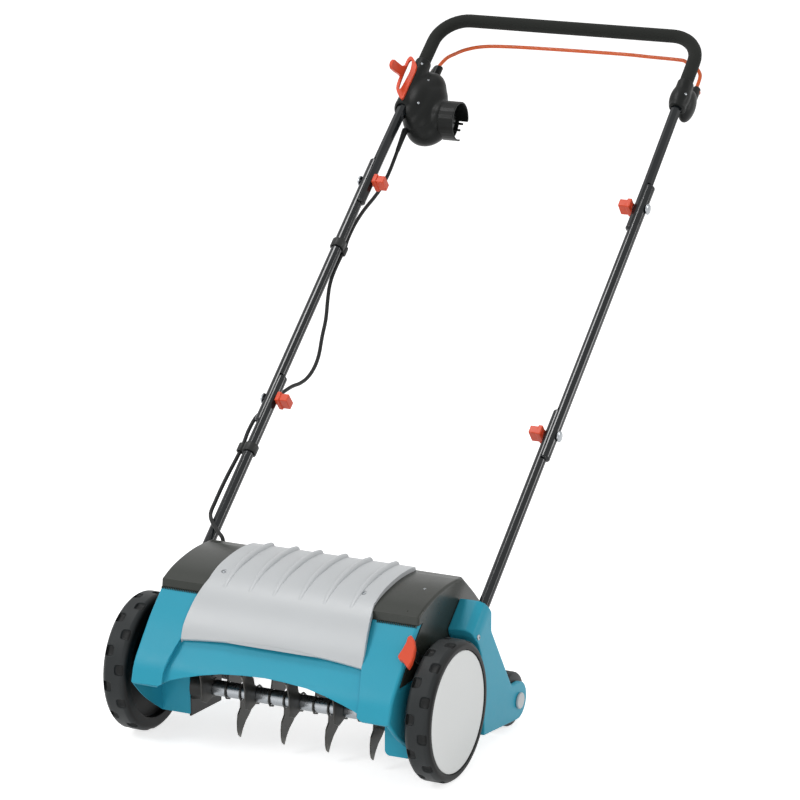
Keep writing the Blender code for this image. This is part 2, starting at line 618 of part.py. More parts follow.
# Side frames: a tube socket block, a flank behind the front wheel and the rear wheel arm
def socket_end(s, radius, side, home=cutters):
    """A cylinder on the tube's line, in deck coordinates."""
    start = Vector((side * LEG_X, FOLD_Y + s * cos(SLOPE), FOLD_Z + s * sin(SLOPE)))
    end = start + Vector((0.0, cos(SLOPE), sin(SLOPE))) * 0.15
    return post("tube_bore", radius, start, end, 24, home)


for side, name in ((-1, "left"), (1, "right")):
    made = prism("side_frame_" + name, BLOCK, *sorted((side * (HOUSING_X + GAP), side * SIDE_X)))
    boss = flat("socket_boss", [(side * (SIDE_X - depth), -h) for depth, h in BOSS], 0.20, cutters)
    boss.rotation_euler = (SLOPE - pi / 2, 0.0, 0.0)
    boss.location = (0.0, FOLD_Y + SOCKET_S * cos(SLOPE), FOLD_Z + SOCKET_S * sin(SLOPE))
    keep(made, baked(boss))
    rear_arc = arc((REAR_AXLE_Y, REAR_R), FLANK_REAR_R, 80, -100, 9)
    ends = sorted((side * (ARM_OUTER_X - SIDE_WALL * 2), side * ARM_OUTER_X))
    join(made, prism("flank", [*FLANK, *rear_arc], *ends, cutters))
    join(made, prism("inner_plate", INNER_PLATE, *sorted((side * SIDE_INNER_X, side * (ARM_X - 0.0015))), cutters))
    join(made, prism("web", WEB, *sorted((side * (SIDE_INNER_X + 0.001), side * (ARM_OUTER_X - 0.001))), cutters))
    cut(made, socket_end(SOCKET_S - 0.002, TUBE_R + GAP, side))
    reach = sorted((side * (HOUSING_X - 0.01), side * (HOUSING_X + 0.015)))
    cut(made, cylinder("crank_hole", CRANK_R + RUN_GAP, *reach, (CRANK_Y, CRANK_Z), 20, cutters))
    reach = sorted((side * (SIDE_X - 0.02), side * (SIDE_X + 0.01)))
    cut(made, cylinder("pin_hole", REAR_PIN_R + GAP, *reach, (REAR_AXLE_Y, REAR_R), 20, cutters))
    finish(made, TEAL, frame)


# Rear wheels on their pins
for side, name in ((-1, "left"), (1, "right")):
    inner = ARM_OUTER_X - 2 * SIDE_WALL - RUN_GAP - REAR_WIDTH
    true_r = REAR_R / cos(pi / 32)
    profile = [(REAR_PIN_R + GAP, 0.0), (REAR_PIN_R + GAP, REAR_WIDTH), (true_r - 0.003, REAR_WIDTH),
               (true_r, REAR_WIDTH - 0.004), (true_r, 0.004), (true_r - 0.003, 0.0)]
    profile = [(r, side * (inner + x)) for r, x in profile]
    wheel = turned("rear_wheel_" + name, profile, 32)
    finish(wheel, TYRE, frame, (0.0, REAR_AXLE_Y, REAR_R))
    pin_in = side * (inner - 0.0020)
    pin = cylinder("rear_axle_" + name, REAR_PIN_R, *sorted((pin_in, side * (ARM_OUTER_X + CAP_THICK / 2))), sides=20)
    head = cylinder("cap", CAP_R, *sorted((side * (ARM_OUTER_X + GAP), side * (ARM_OUTER_X + CAP_THICK))), sides=28,
                    home=cutters)
    join(pin, head)
    finish(pin, GREY, frame, (0.0, REAR_AXLE_Y, REAR_R))


# Depth crank: cross rod, arms and stub axles; the right arm carries the lever
crank = cylinder("depth_crank", CRANK_R, -ARM_X - 0.001, ARM_X + 0.001, sides=20)
axle_dy, axle_dz = -CRANK_Y, WHEEL_R - CRANK_Z
stub_end = WHEEL_OUTER_X - DISC_THICK - 0.0025
for side in (-1, 1):
    bar = [(0.0, -ARM_HALF), *arc((0.0, 0.0), ARM_HALF, -60, 60, 4), (0.0, ARM_HALF), (axle_dy, axle_dz + ARM_HALF),
           *arc((axle_dy, axle_dz), ARM_HALF, 120, 240, 4), (axle_dy, axle_dz - ARM_HALF)]
    join(crank, prism("arm", bar, *sorted((side * ARM_X, side * (ARM_X + ARM_THICK))), cutters))
    stub = cylinder("stub_axle", AXLE_R, *sorted((side * (ARM_X + 0.001), side * stub_end)), (axle_dy, axle_dz), 20,
                    cutters)
    join(crank, stub)
stem = [(0.004, 0.0), (-0.004, -0.004), (-0.1000, 0.0620), (-0.1435, 0.0951), (-0.1375, 0.1051), (-0.0920, 0.0740)]
join(crank, prism("lever_stem", stem, *STEM_X, cutters))
finish(crank, STEEL, crank_axis)
knob = flat("depth_lever", KNOB, KNOB_HIGH - KNOB_LOW)
slope = radians(KNOB_SLOPE_DEG)
lift = (KNOB_HIGH + KNOB_LOW) / 2
knob.rotation_euler = (slope, 0.0, 0.0)
knob.location = (0.0, KNOB_Y - CRANK_Y - lift * sin(slope), KNOB_Z - CRANK_Z + lift * cos(slope))
knob = baked(knob)
wrapped = [stem[-1], *stem, stem[0]]
cut(knob, prism("stem_slot", inset(wrapped, GAP)[1:-1], STEM_X[0] - GAP, STEM_X[1] + GAP, cutters))
finish(knob, ORANGE, crank_axis)


# Front wheels: a moulded tyre and rim in one, and the grey outer disc
bore = AXLE_R + GAP
true_r = WHEEL_R / cos(pi / WHEEL_SIDES)
inner_face = WHEEL_OUTER_X - WHEEL_WIDTH
disc_back = WHEEL_OUTER_X - DISC_THICK - 0.0020
for side, name in ((-1, "left"), (1, "right")):
    recess, web_face = WHEEL_OUTER_X - 0.0271, WHEEL_OUTER_X - 0.0226
    profile = [(bore, inner_face), (0.0180, inner_face), (0.0180, recess), (0.0800, recess), (0.0800, inner_face),
               (0.0930, inner_face), (true_r, inner_face + 0.0070), (true_r, WHEEL_OUTER_X - 0.0070),
               (0.0930, WHEEL_OUTER_X), (DISC_R + 2 * GAP, WHEEL_OUTER_X), (DISC_R + 2 * GAP, disc_back),
               (0.0800, disc_back), (0.0800, web_face), (bore, web_face)]
    tyre = turned("front_tyre_" + name, [(r, side * x) for r, x in profile])
    finish(tyre, TYRE, crank_axis, (0.0, axle_dy, axle_dz))
    face = WHEEL_OUTER_X - 0.0012
    disc = cylinder("front_disc_" + name, DISC_R, *sorted((side * (disc_back + GAP), side * face)), sides=WHEEL_SIDES)
    finish(disc, GREY, crank_axis, (0.0, axle_dy, axle_dz))


# Blade shaft, its blades, bearings and pulleys
shaft = cylinder("blade_shaft", SPACER_R, -TUNNEL_X + RUN_GAP, TUNNEL_X - RUN_GAP, sides=24)
pulley_end = PULLEY_X + BELT_WIDTH / 2 + PULLEY_RIM + 0.002
join(shaft, cylinder("journal", SHAFT_END_R, -TUNNEL_X - SHEET - BEARING_WIDTH - 0.004, pulley_end, sides=20,
                     home=cutters))
finish(shaft, STEEL, shaft_axis)
claw = [*CLAW_FRONT, *CLAW_REAR]
hub = [(BLADE_HUB_R * cos(radians(a)), BLADE_HUB_R * sin(radians(a))) for a in range(-10, 231, 40)]
for number in range(BLADE_COUNT):
    from_last = BLADE_COUNT - 1 - number
    x = LAST_BLADE_X - from_last * BLADE_PITCH
    made = prism("blade_%02d" % (number + 1), [*claw, *hub], x - BLADE_THICK / 2, x + BLADE_THICK / 2)
    cut(made, cylinder("blade_bore", SPACER_R + GAP, x - 0.01, x + 0.01, sides=16, home=cutters))
    finish(made, DARK_STEEL, shaft_axis)
    made.rotation_euler = (radians(from_last * BLADE_STEP_DEG), 0.0, 0.0)
for side, name in ((-1, "left"), (1, "right")):
    ends = sorted((side * (TUNNEL_X + GAP), side * (TUNNEL_X + BEARING_WIDTH)))
    made = cylinder("shaft_bearing_" + name, BEARING_R, *ends, sides=32)
    cut(made, cylinder("race_bore", SHAFT_END_R + GAP, *sorted((side * 0.14, side * 0.19)), sides=20, home=cutters))
    finish(made, STEEL, frame, (0.0, SHAFT_Y, SHAFT_Z))


def pulley_profile(radius, bore_r):
    half = BELT_WIDTH / 2
    rim = radius + PULLEY_RIM
    return [(bore_r, PULLEY_X - half - PULLEY_RIM), (rim, PULLEY_X - half - PULLEY_RIM), (rim, PULLEY_X - half - GAP),
            (radius, PULLEY_X - half - GAP), (radius, PULLEY_X + half + GAP), (rim, PULLEY_X + half + GAP),
            (rim, PULLEY_X + half + PULLEY_RIM), (bore_r, PULLEY_X + half + PULLEY_RIM)]


pulley = turned("shaft_pulley", pulley_profile(PULLEY_R, SHAFT_END_R + GAP), 24)
finish(pulley, BLACK, shaft_axis)


# Motor: can with an open left end, and the rotor with its fan and pinion
can_left, can_right = MOTOR_X - MOTOR_HALF, MOTOR_X + MOTOR_HALF
can = turned("motor_can", [(MOTOR_R - SHEET, can_left), (MOTOR_R, can_left), (MOTOR_R, can_right),
                           (ROTOR_SHAFT_R + RUN_GAP, can_right), (ROTOR_SHAFT_R + RUN_GAP, can_right - 0.006),
                           (MOTOR_R - SHEET, can_right - 0.006)], 28)
finish(can, COPPER, frame, (0.0, MOTOR_Y, MOTOR_Z))
half = BELT_WIDTH / 2
rotor_right = PULLEY_X + half + PULLEY_RIM
rotor = turned("motor_rotor", [
    (0.0005, can_left - 0.014), (0.0340, can_left - 0.014), (0.0340, can_left - 0.008),
    (ROTOR_SHAFT_R, can_left - 0.008), (ROTOR_SHAFT_R, can_left + 0.030), (ROTOR_R, can_left + 0.030),
    (ROTOR_R, can_right - 0.030), (ROTOR_SHAFT_R, can_right - 0.030),
    (ROTOR_SHAFT_R, PULLEY_X - half - PULLEY_RIM), (PINION_R + PULLEY_RIM, PULLEY_X - half - PULLEY_RIM),
    (PINION_R + PULLEY_RIM, PULLEY_X - half - GAP), (PINION_R, PULLEY_X - half - GAP),
    (PINION_R, PULLEY_X + half + GAP), (PINION_R + PULLEY_RIM, PULLEY_X + half + GAP),
    (PINION_R + PULLEY_RIM, rotor_right), (0.0005, rotor_right)], 16)
finish(rotor, COPPER, motor_axis)

# Belt: the two pulleys' outer tangents, open in the middle
reach = hypot(MOTOR_Y - SHAFT_Y, MOTOR_Z - SHAFT_Z)
lean = atan2(MOTOR_Z - SHAFT_Z, MOTOR_Y - SHAFT_Y)
spread = atan2(sqrt(reach ** 2 - (PULLEY_R - PINION_R) ** 2), PULLEY_R - PINION_R)


def belt_line(extra):
    """The loop round both pulleys, at a distance from their grooves."""
    far = [lean + spread + (2 * pi - 2 * spread) * k / 12 for k in range(13)]
    near = [lean - spread + 2 * spread * k / 6 for k in range(7)]
    big = [(SHAFT_Y + (PULLEY_R + extra) * cos(t), SHAFT_Z + (PULLEY_R + extra) * sin(t)) for t in far]
    small = [(MOTOR_Y + (PINION_R + extra) * cos(t), MOTOR_Z + (PINION_R + extra) * sin(t)) for t in near]
    return [*big, *small]


belt = prism("drive_belt", belt_line(BELT_THICK), PULLEY_X - half, PULLEY_X + half)
cut(belt, prism("belt_inside", belt_line(2 * GAP), PULLEY_X - 0.02, PULLEY_X + 0.02, cutters))
finish(belt, BELT, frame)


# Handle tubes
LAP_X = (LEG_X + MID_LEG_X) / 2


def leg(name, x, s0, s1, low_half, high_half):
    """A steel tube along s. An end half is 'in', 'out' or '', the part that stays at a lap."""
    made = post(name, TUBE_R, (x, s0, 0.0), (x, s1, 0.0), 20)
    cut(made, post("tube_inside", TUBE_R - TUBE_WALL, (x, s0 - 0.01, 0.0), (x, s1 + 0.01, 0.0), 20, cutters))
    side = 1 if x > 0 else -1
    for half, start, end in ((low_half, s0 - 0.01, s0 + 2 * LAP + LAP_CLEAR),
                             (high_half, s1 - 2 * LAP - LAP_CLEAR, s1 + 0.01)):
        if half:
            gone = 1 if half == "in" else -1
            ends = sorted((side * (LAP_X - gone * GAP / 2), side * (LAP_X + gone * 0.03)))
            cut(made, box("half_cut", (ends[0], start, -0.02), (ends[1], end, 0.02), cutters))
    return made


def bolt_hole(made, x, s):
    cut(made, cylinder("bolt_hole", BOLT_R + GAP, x - 0.02, x + 0.02, (s, 0.0), 16, cutters))


for side, name in ((-1, "left"), (1, "right")):
    low = leg("lower_tube_" + name, side * LEG_X, SOCKET_S, LAP, "", "in")
    bolt_hole(low, side * LEG_X, 0.0)
    finish(low, GLOSS_BLACK, handle_base)
    mid = leg("middle_tube_" + name, side * MID_LEG_X, -LAP, MID_LENGTH + LAP, "out", "out")
    bolt_hole(mid, side * MID_LEG_X, 0.0)
    bolt_hole(mid, side * MID_LEG_X, MID_LENGTH)
    finish(mid, GLOSS_BLACK, lower_fold)

bar_s = GRIP_REACH
lap_end = LAP + LAP_CLEAR


def upper_x(s):
    """Half the distance between the upper legs, which lean in above the lap."""
    return LEG_X + (GRIP_X - LEG_X) * max(s - lap_end, 0.0) / (bar_s - BEND_R - lap_end)


def handle_path(s0):
    """The upper section's centre line: up the left leg, round both bends, down the right."""
    corner = [(GRIP_X - BEND_R + BEND_R * cos(radians(a)), bar_s - BEND_R + BEND_R * sin(radians(a)))
              for a in range(0, 91, 18)]
    right = [(u, v, 0.0) for u, v in corner]
    knee = [] if s0 > lap_end else [(LEG_X, lap_end, 0.0)]
    right = [(upper_x(s0), s0, 0.0), *knee, *right]
    left = [(-u, v, 0.0) for u, v, _ in right]
    return [*left, *reversed(right)]


upper = tube("upper_handle", handle_path(-LAP), TUBE_R, 2)
cut(upper, tube("handle_inside", handle_path(-LAP - 0.01), TUBE_R - TUBE_WALL, 2, cutters))
for side in (-1, 1):
    ends = sorted((side * (LAP_X - GAP / 2), side * (LAP_X + 0.03)))
    cut(upper, box("half_cut", (ends[0], -LAP - 0.02, -0.02), (ends[1], LAP + LAP_CLEAR, 0.02), cutters))
    bolt_hole(upper, side * LEG_X, 0.0)
finish(upper, GLOSS_BLACK, upper_fold)
foam_s = bar_s - FOAM_END
foam = tube("foam_grip", handle_path(foam_s), FOAM_R, 2)
cut(foam, tube("foam_inside", handle_path(foam_s - 0.01), TUBE_R + 2 * GAP, 2, cutters))
finish(foam, FOAM, upper_fold)

# Fold bolts and wing nuts, heads outboard
for side, name in ((-1, "left"), (1, "right")):
    for level, axis in (("lower", lower_fold), ("upper", upper_fold)):
        face = MID_LEG_X + TUBE_R + GAP
        nut_face = LEG_X - TUBE_R - GAP
        tip = nut_face - NUT_LENGTH - 0.002
        bolt = cylinder("fold_bolt_%s_%s" % (level, name), BOLT_R, *sorted((side * tip, side * (face + 0.001))),
                        sides=16)
        head = cylinder("bolt_head", HEAD_R, *sorted((side * face, side * (face + HEAD_THICK))), sides=20,
                        home=cutters)
        join(bolt, head)
        finish(bolt, STEEL, axis)
        nut = cylinder("wing_nut_%s_%s" % (level, name), NUT_HUB_R,
                       *sorted((side * (nut_face - NUT_LENGTH), side * nut_face)), sides=20)
        wing_x = sorted((side * (nut_face - NUT_LENGTH - 0.001), side * (nut_face - 0.006)))
        join(nut, box("wings", (wing_x[0], -WING_LENGTH / 2, -WING_THICK / 2),
                      (wing_x[1], WING_LENGTH / 2, WING_THICK / 2), cutters))
        reach = sorted((side * (LEG_X - 0.05), side * LEG_X))
        cut(nut, cylinder("nut_bore", BOLT_R + GAP, *reach, sides=16, home=cutters))
        finish(nut, ORANGE, axis)


# Switch box: two half shells round the left leg, closed by the inlet
def pear(name, plan, side_line, low, high, shrink, home=parts):
    """A plan in (x, s) and a side view in (s, h) meet in one rounded body."""
    centre = [sum(p[k] for p in plan) / len(plan) for k in (0, 1)]
    outline = [tuple(centre[k] + (p[k] - centre[k]) * shrink for k in (0, 1)) for p in smooth(plan, 2, True)]
    made = flat(name, outline, high - low, home)
    made.location = (0.0, 0.0, (low + high) / 2)
    made = baked(made)
    middle = [sum(p[k] for p in side_line) / len(side_line) for k in (0, 1)]
    view = [tuple(middle[k] + (p[k] - middle[k]) * shrink for k in (0, 1)) for p in smooth(side_line, 2, True)]
    return keep(made, prism(name + "_side", view, -0.30, 0.30, cutters))


def leg_bore(side):
    """The upper leg's bore, along its lean."""
    low, high = (side * upper_x(0.05), 0.05, 0.0), (side * upper_x(0.32), 0.32, 0.0)
    return post("leg_bore", TUBE_R + GAP, low, high, 20,
                cutters)


def grip_clearance(side):
    """Room for the foam grip beyond the end of a housing on the leg."""
    ends = sorted((side * (LEG_X - 0.0375), side * (LEG_X + 0.0325)))
    return box("grip_clearance", (ends[0], bar_s - FOAM_END - GAP * 4, -0.020), (ends[1], 0.32, 0.04), cutters)


def bail_hole(side):
    """The blind bearing of the bail's foot."""
    ends = sorted((side * (LEG_X - 0.0275), side * (BAIL_BOSS_X[1] - 0.0020)))
    return cylinder("bail_hole", BAIL_R + RUN_GAP, *ends, (BAIL_S, BAIL_H), 16, cutters)


def boss_arm(side):
    """The arm and barrel that hold the bail's foot."""
    reach = sorted((side * (BAIL_BOSS_X[0] + GAP), side * (BAIL_BOSS_X[1] - GAP)))
    made = prism("boss_arm", BOSS_ARM, *reach, cutters)
    ends = sorted((side * BAIL_BOSS_X[0], side * BAIL_BOSS_X[1]))
    return join(made, cylinder("bail_boss", BAIL_BOSS_R, *ends, (BAIL_S, BAIL_H), 20, cutters))


for name, plan, low, high, pocket_span in (
        ("switch_box_top", BOX_TOP_PLAN, BOX_SPLIT + GAP, BOX_TOP + 0.01, (BOX_SPLIT - 0.01, BOX_TOP)),
        ("switch_box_base", BOX_BASE_PLAN, BOX_BASE - 0.01, BOX_SPLIT, (BOX_BASE, BOX_SPLIT + 0.01))):
    made = pear(name, plan, BOX_SIDE, low, high, 1.0)
    cut(made, pear("pocket", plan, BOX_SIDE, *pocket_span, BOX_SHELL, cutters))
    cut(made, leg_bore(-1))
    cut(made, grip_clearance(-1))
    cut(made, cylinder("inlet_seat", INLET_R + GAP, INLET_X[0] - GAP, INLET_X[1], (INLET_S, INLET_H), 32, cutters))
    if name == "switch_box_base":
        cut(made, cylinder("inlet_hole", INLET_R - 0.006, INLET_X[0] - 0.02, INLET_X[1], (INLET_S, INLET_H), 28,
                           cutters))
        first = Vector(LEAD_UPPER[0]) * 2 - Vector(LEAD_UPPER[1])
        cut(made, tube("lead_entry", [first, *smooth(LEAD_UPPER, 2)[:6]], LEAD_R + GAP, 2, cutters))
        cut(made, box("bail_room", (-BAIL_BOSS_X[0], BAIL_S - 0.0115, -0.09), (0.0110 - LEG_X, 0.30, -0.03), cutters))
        join(made, boss_arm(-1))
        cut(made, bail_hole(-1))
        cut(made, post("button_hole", BUTTON_R + GAP, (BUTTON_X, BUTTON_S[0] - 0.02, BUTTON_H),
                       (BUTTON_X, BUTTON_S[1] + 0.02, BUTTON_H), 20, cutters))
    finish(made, BLACK, upper_fold)

# Power inlet: a collar facing inwards, notched below, with two pins on its floor
inlet = cylinder("power_inlet", INLET_R, *INLET_X, sides=32)
cut(inlet, cylinder("inlet_mouth", INLET_R - INLET_WALL, INLET_X[0] + INLET_FLOOR, INLET_X[1] + 0.01, sides=32,
                    home=cutters))
cut(inlet, box("inlet_notch", (INLET_X[1] - NOTCH_DEPTH, -2 * INLET_R, -2 * INLET_R),
               (INLET_X[1] + 0.01, 2 * INLET_R, NOTCH_H), cutters))
for shift in (-PIN_SPREAD, PIN_SPREAD):
    join(inlet, cylinder("pin", PIN_R, INLET_X[0] + 0.001, INLET_X[1] - 0.002, (shift, PIN_H), 12, cutters))
finish(inlet, BLACK, upper_fold, (0.0, INLET_S, INLET_H))

button = post("start_button", BUTTON_R, (BUTTON_X, BUTTON_S[0], BUTTON_H), (BUTTON_X, BUTTON_S[1], BUTTON_H), 20)
finish(button, BLACK, upper_fold)

# Cord hook: a flat loop on top of the box, with a finger rising from its outer rim
hook = flat("cord_hook", smooth(HOOK_PLAN, 2, True), HOOK_H[1] - HOOK_H[0])
hook.location = (0.0, 0.0, sum(HOOK_H) / 2)
hook = baked(hook)
slot = flat("hook_slot", smooth(HOOK_SLOT, 2, True), 0.05, cutters)
cut(hook, baked(slot))
join(hook, prism("hook_finger", smooth(FINGER, 1, True), *FINGER_X, cutters))
finish(hook, ORANGE, upper_fold)

# Bracket on the right leg, which holds the bail's other end
bracket = pear("bail_bracket", BRACKET_PLAN, BRACKET_SIDE, -0.07, 0.03, 1.0)
cut(bracket, leg_bore(1))
cut(bracket, grip_clearance(1))
join(bracket, boss_arm(1))
cut(bracket, bail_hole(1))
finish(bracket, BLACK, upper_fold)

# Bail: one orange rod, its ends turned outwards into the box and the bracket
foot = [(BAIL_X + BAIL_FOOT, 0.0), (BAIL_X + 0.0050, 0.0), (BAIL_X + 0.0012, 0.0018), (BAIL_X, 0.0065)]
left = [(-u, v, 0.0) for u, v in foot]
right = [(u, v, 0.0) for u, v in reversed(foot)]
middle = [(share * BAIL_X, v, 0.0) for share, v in BAIL_LINE]
bail = tube("bail", [*left, *middle, *right], BAIL_R, 2)
finish(bail, BAIL_ORANGE, bail_axis)


# Lead from the box to the cover, clipped to the left tubes
def clip(name, s, tube_x, lead_x, lead_h, axis):
    """A band round the tube and the lead."""
    ends = (s - CLIP_LENGTH / 2, s + CLIP_LENGTH / 2)
    beyond = (s - CLIP_LENGTH, s + CLIP_LENGTH)
    made = post(name, TUBE_R + 0.0030, (tube_x, ends[0], 0.0), (tube_x, ends[1], 0.0), 16)
    join(made, post("lead_eye", LEAD_R + 0.0030, (lead_x, ends[0], lead_h), (lead_x, ends[1], lead_h), 12, cutters))
    cut(made, post("tube_hole", TUBE_R + GAP, (tube_x, beyond[0], 0.0), (tube_x, beyond[1], 0.0), 20, cutters))
    cut(made, post("lead_hole", LEAD_R + RUN_GAP, (lead_x, beyond[0], lead_h), (lead_x, beyond[1], lead_h), 12,
                   cutters))
    return finish(made, BLACK, axis)


clip("lead_clip_middle", MID_LENGTH + CLIP_MID_S, -MID_LEG_X, *CLIP_MID_LEAD, lower_fold)
clip("lead_clip_lower", CLIP_LOW_S, -LEG_X, *CLIP_LOW_LEAD, handle_base)
upper_lead = tube("lead_upper", smooth(LEAD_UPPER, 2), LEAD_R, 2)
finish(upper_lead, LEAD, upper_fold)
lower_lead = tube("lead_lower", smooth(LEAD_LOWER, 1), LEAD_R, 2)
finish(lower_lead, LEAD, lower_fold)
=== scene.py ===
from math import atan2, cos, hypot, pi, radians, sin

import bmesh
import bpy
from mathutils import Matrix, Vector


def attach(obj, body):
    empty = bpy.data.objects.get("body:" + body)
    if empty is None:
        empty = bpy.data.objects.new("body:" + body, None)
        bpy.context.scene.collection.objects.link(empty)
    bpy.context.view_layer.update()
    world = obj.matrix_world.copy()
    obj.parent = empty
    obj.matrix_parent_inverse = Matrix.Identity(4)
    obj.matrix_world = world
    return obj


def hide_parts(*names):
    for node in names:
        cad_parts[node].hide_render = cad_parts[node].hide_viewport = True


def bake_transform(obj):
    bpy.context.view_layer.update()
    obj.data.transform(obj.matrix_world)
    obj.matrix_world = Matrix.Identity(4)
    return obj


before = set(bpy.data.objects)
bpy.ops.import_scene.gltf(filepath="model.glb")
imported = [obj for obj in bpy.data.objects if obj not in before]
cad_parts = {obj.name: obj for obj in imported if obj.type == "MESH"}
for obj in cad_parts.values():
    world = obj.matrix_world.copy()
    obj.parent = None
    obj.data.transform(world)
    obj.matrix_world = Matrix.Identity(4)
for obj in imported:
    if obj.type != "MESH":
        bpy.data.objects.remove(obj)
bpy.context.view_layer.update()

# Camera: a long lens to the right of the machine's nose and a little above it, held level.
LENS_MM = 155.16
CAMERA_PLACE = (2.1246, -4.4963257, 1.7605)
CAMERA_TURN = (radians(74.77), 0.0, radians(25.79))
lens = bpy.data.cameras.new("studio_camera")
lens.lens, lens.sensor_width, lens.clip_end = LENS_MM, 36.0, 60.0
camera = bpy.data.objects.new("studio_camera", lens)
camera.location, camera.rotation_euler = CAMERA_PLACE, CAMERA_TURN
bpy.context.scene.collection.objects.link(camera)
bpy.context.scene.camera = camera
bpy.context.scene.view_settings.view_transform = "Standard"


# Studio: a white floor that keeps a soft shadow, a white surround and five soft boxes.
# The helpers here lay out a finish's nodes, so that a sum on a socket reads as a sum.
def screen(red, green, blue):
    """A colour as it looks on a screen, 0 to 255, as the shader wants it."""
    return (*(((c / 255 + 0.055) / 1.055) ** 2.4 if c > 10 else c / 3294.6 for c in (red, green, blue)), 1.0)


def scaled(tone, factor, lift=0.0):
    """A screen colour, made darker or lighter for the shader."""
    return (*(min(c * factor + lift, 1.0) for c in screen(*tone)[:3]), 1.0)


class Wire:
    """One output of a finish's nodes; plain arithmetic on it adds the nodes that work it out."""

    def __init__(self, finish, socket):
        self.finish, self.socket = finish, socket

    def maths(self, operation, other):
        return self.finish.node("ShaderNodeMath", {"operation": operation}, {0: self, 1: other})

    def __add__(self, other):
        return self.maths("ADD", other)

    def __mul__(self, other):
        return self.maths("MULTIPLY", other)

    __radd__ = __add__
    __rmul__ = __mul__


class Finish:
    """The node tree of one finish, with a method for every kind of node."""

    def __init__(self, tree):
        self.tree = tree

    def node(self, kind, settings=None, sockets=None, output=0):
        """Adds a node: its settings first, then the values or links of its sockets."""
        made = self.tree.nodes.new(kind)
        for name, value in (settings or {}).items():
            setattr(made, name, value)
        for name, value in (sockets or {}).items():
            self.feed(made.inputs[name], value)
        return Wire(self, made.outputs[output])

    def feed(self, socket, value):
        if isinstance(value, Wire):
            self.tree.links.new(value.socket, socket)
        else:
            socket.default_value = value

    def place(self):
        """Where a point of the piece lies, in metres."""
        return self.node("ShaderNodeTexCoord", output=3)

    def between(self, share, first, second):
        """A colour from the first to the second by a share."""
        return self.node("ShaderNodeMix", {"data_type": "RGBA"}, {0: share, 6: first, 7: second}, 2)

    def noise(self, where, scale, detail=2.0):
        return self.node("ShaderNodeTexNoise", None, {"Vector": where, "Scale": scale, "Detail": detail})

    def steps(self, value, low, high):
        """0 below low, 1 above high and a straight rise between them."""
        return self.node("ShaderNodeMapRange", None, {0: value, 1: low, 2: high, 3: 0.0, 4: 1.0})

    def reach(self, where, axle):
        """How far a place is from an axle that runs along X."""
        across = self.node("ShaderNodeVectorMath", {"operation": "SUBTRACT"}, {0: where, 1: (0.0, *axle)})
        level = self.node("ShaderNodeVectorMath", {"operation": "MULTIPLY"}, {0: across, 1: (0.0, 1.0, 1.0)})
        return self.node("ShaderNodeVectorMath", {"operation": "LENGTH"}, {0: level}, 1)

    def bump(self, height, strength, distance=0.0002):
        return self.node("ShaderNodeBump", None,
                         {"Strength": strength, "Distance": distance, "Height": height})


def new_finish(name, **constants):
    """A material with its Principled shader, whose constant sockets are set by name."""
    made = bpy.data.materials.new(name)
    made.use_nodes = True
    shader = made.node_tree.nodes["Principled BSDF"]
    for socket, value in constants.items():
        shader.inputs[socket.replace("_", " ")].default_value = value
    return made, Finish(made.node_tree), shader.inputs


def seen_directly(finish):
    """1 where a camera, glossy or transmission ray meets the floor or the surround."""
    rays = finish.tree.nodes.new("ShaderNodeLightPath")
    straight, glossy, through = (Wire(finish, rays.outputs[n])
                                 for n in ("Is Camera Ray", "Is Glossy Ray", "Is Transmission Ray"))
    return finish.node("ShaderNodeMath", {"operation": "MINIMUM"}, {0: straight + glossy + through, 1: 1.0})


def grey(level):
    return (level, level, level, 1.0)


FLOOR_TONE, FLOOR_GLOW, SURROUND_LEVEL = (236, 236, 236), 0.70, 0.44
bpy.ops.object.select_all(action="DESELECT")
bpy.ops.mesh.primitive_plane_add(size=24.0, location=(0.0, 6.0, -0.0002))
floor = bpy.context.active_object
floor.name = "studio_floor"
floor_finish, nodes, sockets = new_finish("studio_paper", Roughness=0.9, Emission_Strength=1.0)
paper = nodes.noise(nodes.place(), 3.0)
nodes.feed(sockets["Base Color"], nodes.between(paper, screen(*FLOOR_TONE), screen(240, 240, 240)))
nodes.feed(sockets["Emission Color"], nodes.between(seen_directly(nodes), grey(0.0), grey(FLOOR_GLOW)))
floor.data.materials.append(floor_finish)

surround = bpy.data.worlds.new("studio_surround")
bpy.context.scene.world = surround
surround.use_nodes = True
nodes = Finish(surround.node_tree)
backdrop = surround.node_tree.nodes["Background"].inputs
nodes.feed(backdrop["Color"], nodes.between(seen_directly(nodes), grey(SURROUND_LEVEL), grey(1.0)))

SOFT_BOXES = (("key", (-2.6, -3.2, 3.4), 1.3, 58.0), ("front_fill", (2.6, -4.0, 1.4), 1.4, 28.0),
              ("top", (-1.4, -0.3, 4.1), 0.9, 40.0), ("side_fill", (3.8, 1.5, 1.9), 1.0, 28.0),
              ("low_fill", (-0.8, -4.2, 0.25), 1.2, 12.0))
AIM = Vector((0.0, -0.1, 0.3))
for name, place, size, power in SOFT_BOXES:
    box = bpy.data.lights.new("soft_box_" + name, "AREA")
    box.size, box.energy = size, power
    lamp = bpy.data.objects.new("soft_box_" + name, box)
    lamp.location = place
    lamp.rotation_euler = (AIM - Vector(place)).to_track_quat("-Z", "Y").to_euler()
    bpy.context.scene.collection.objects.link(lamp)

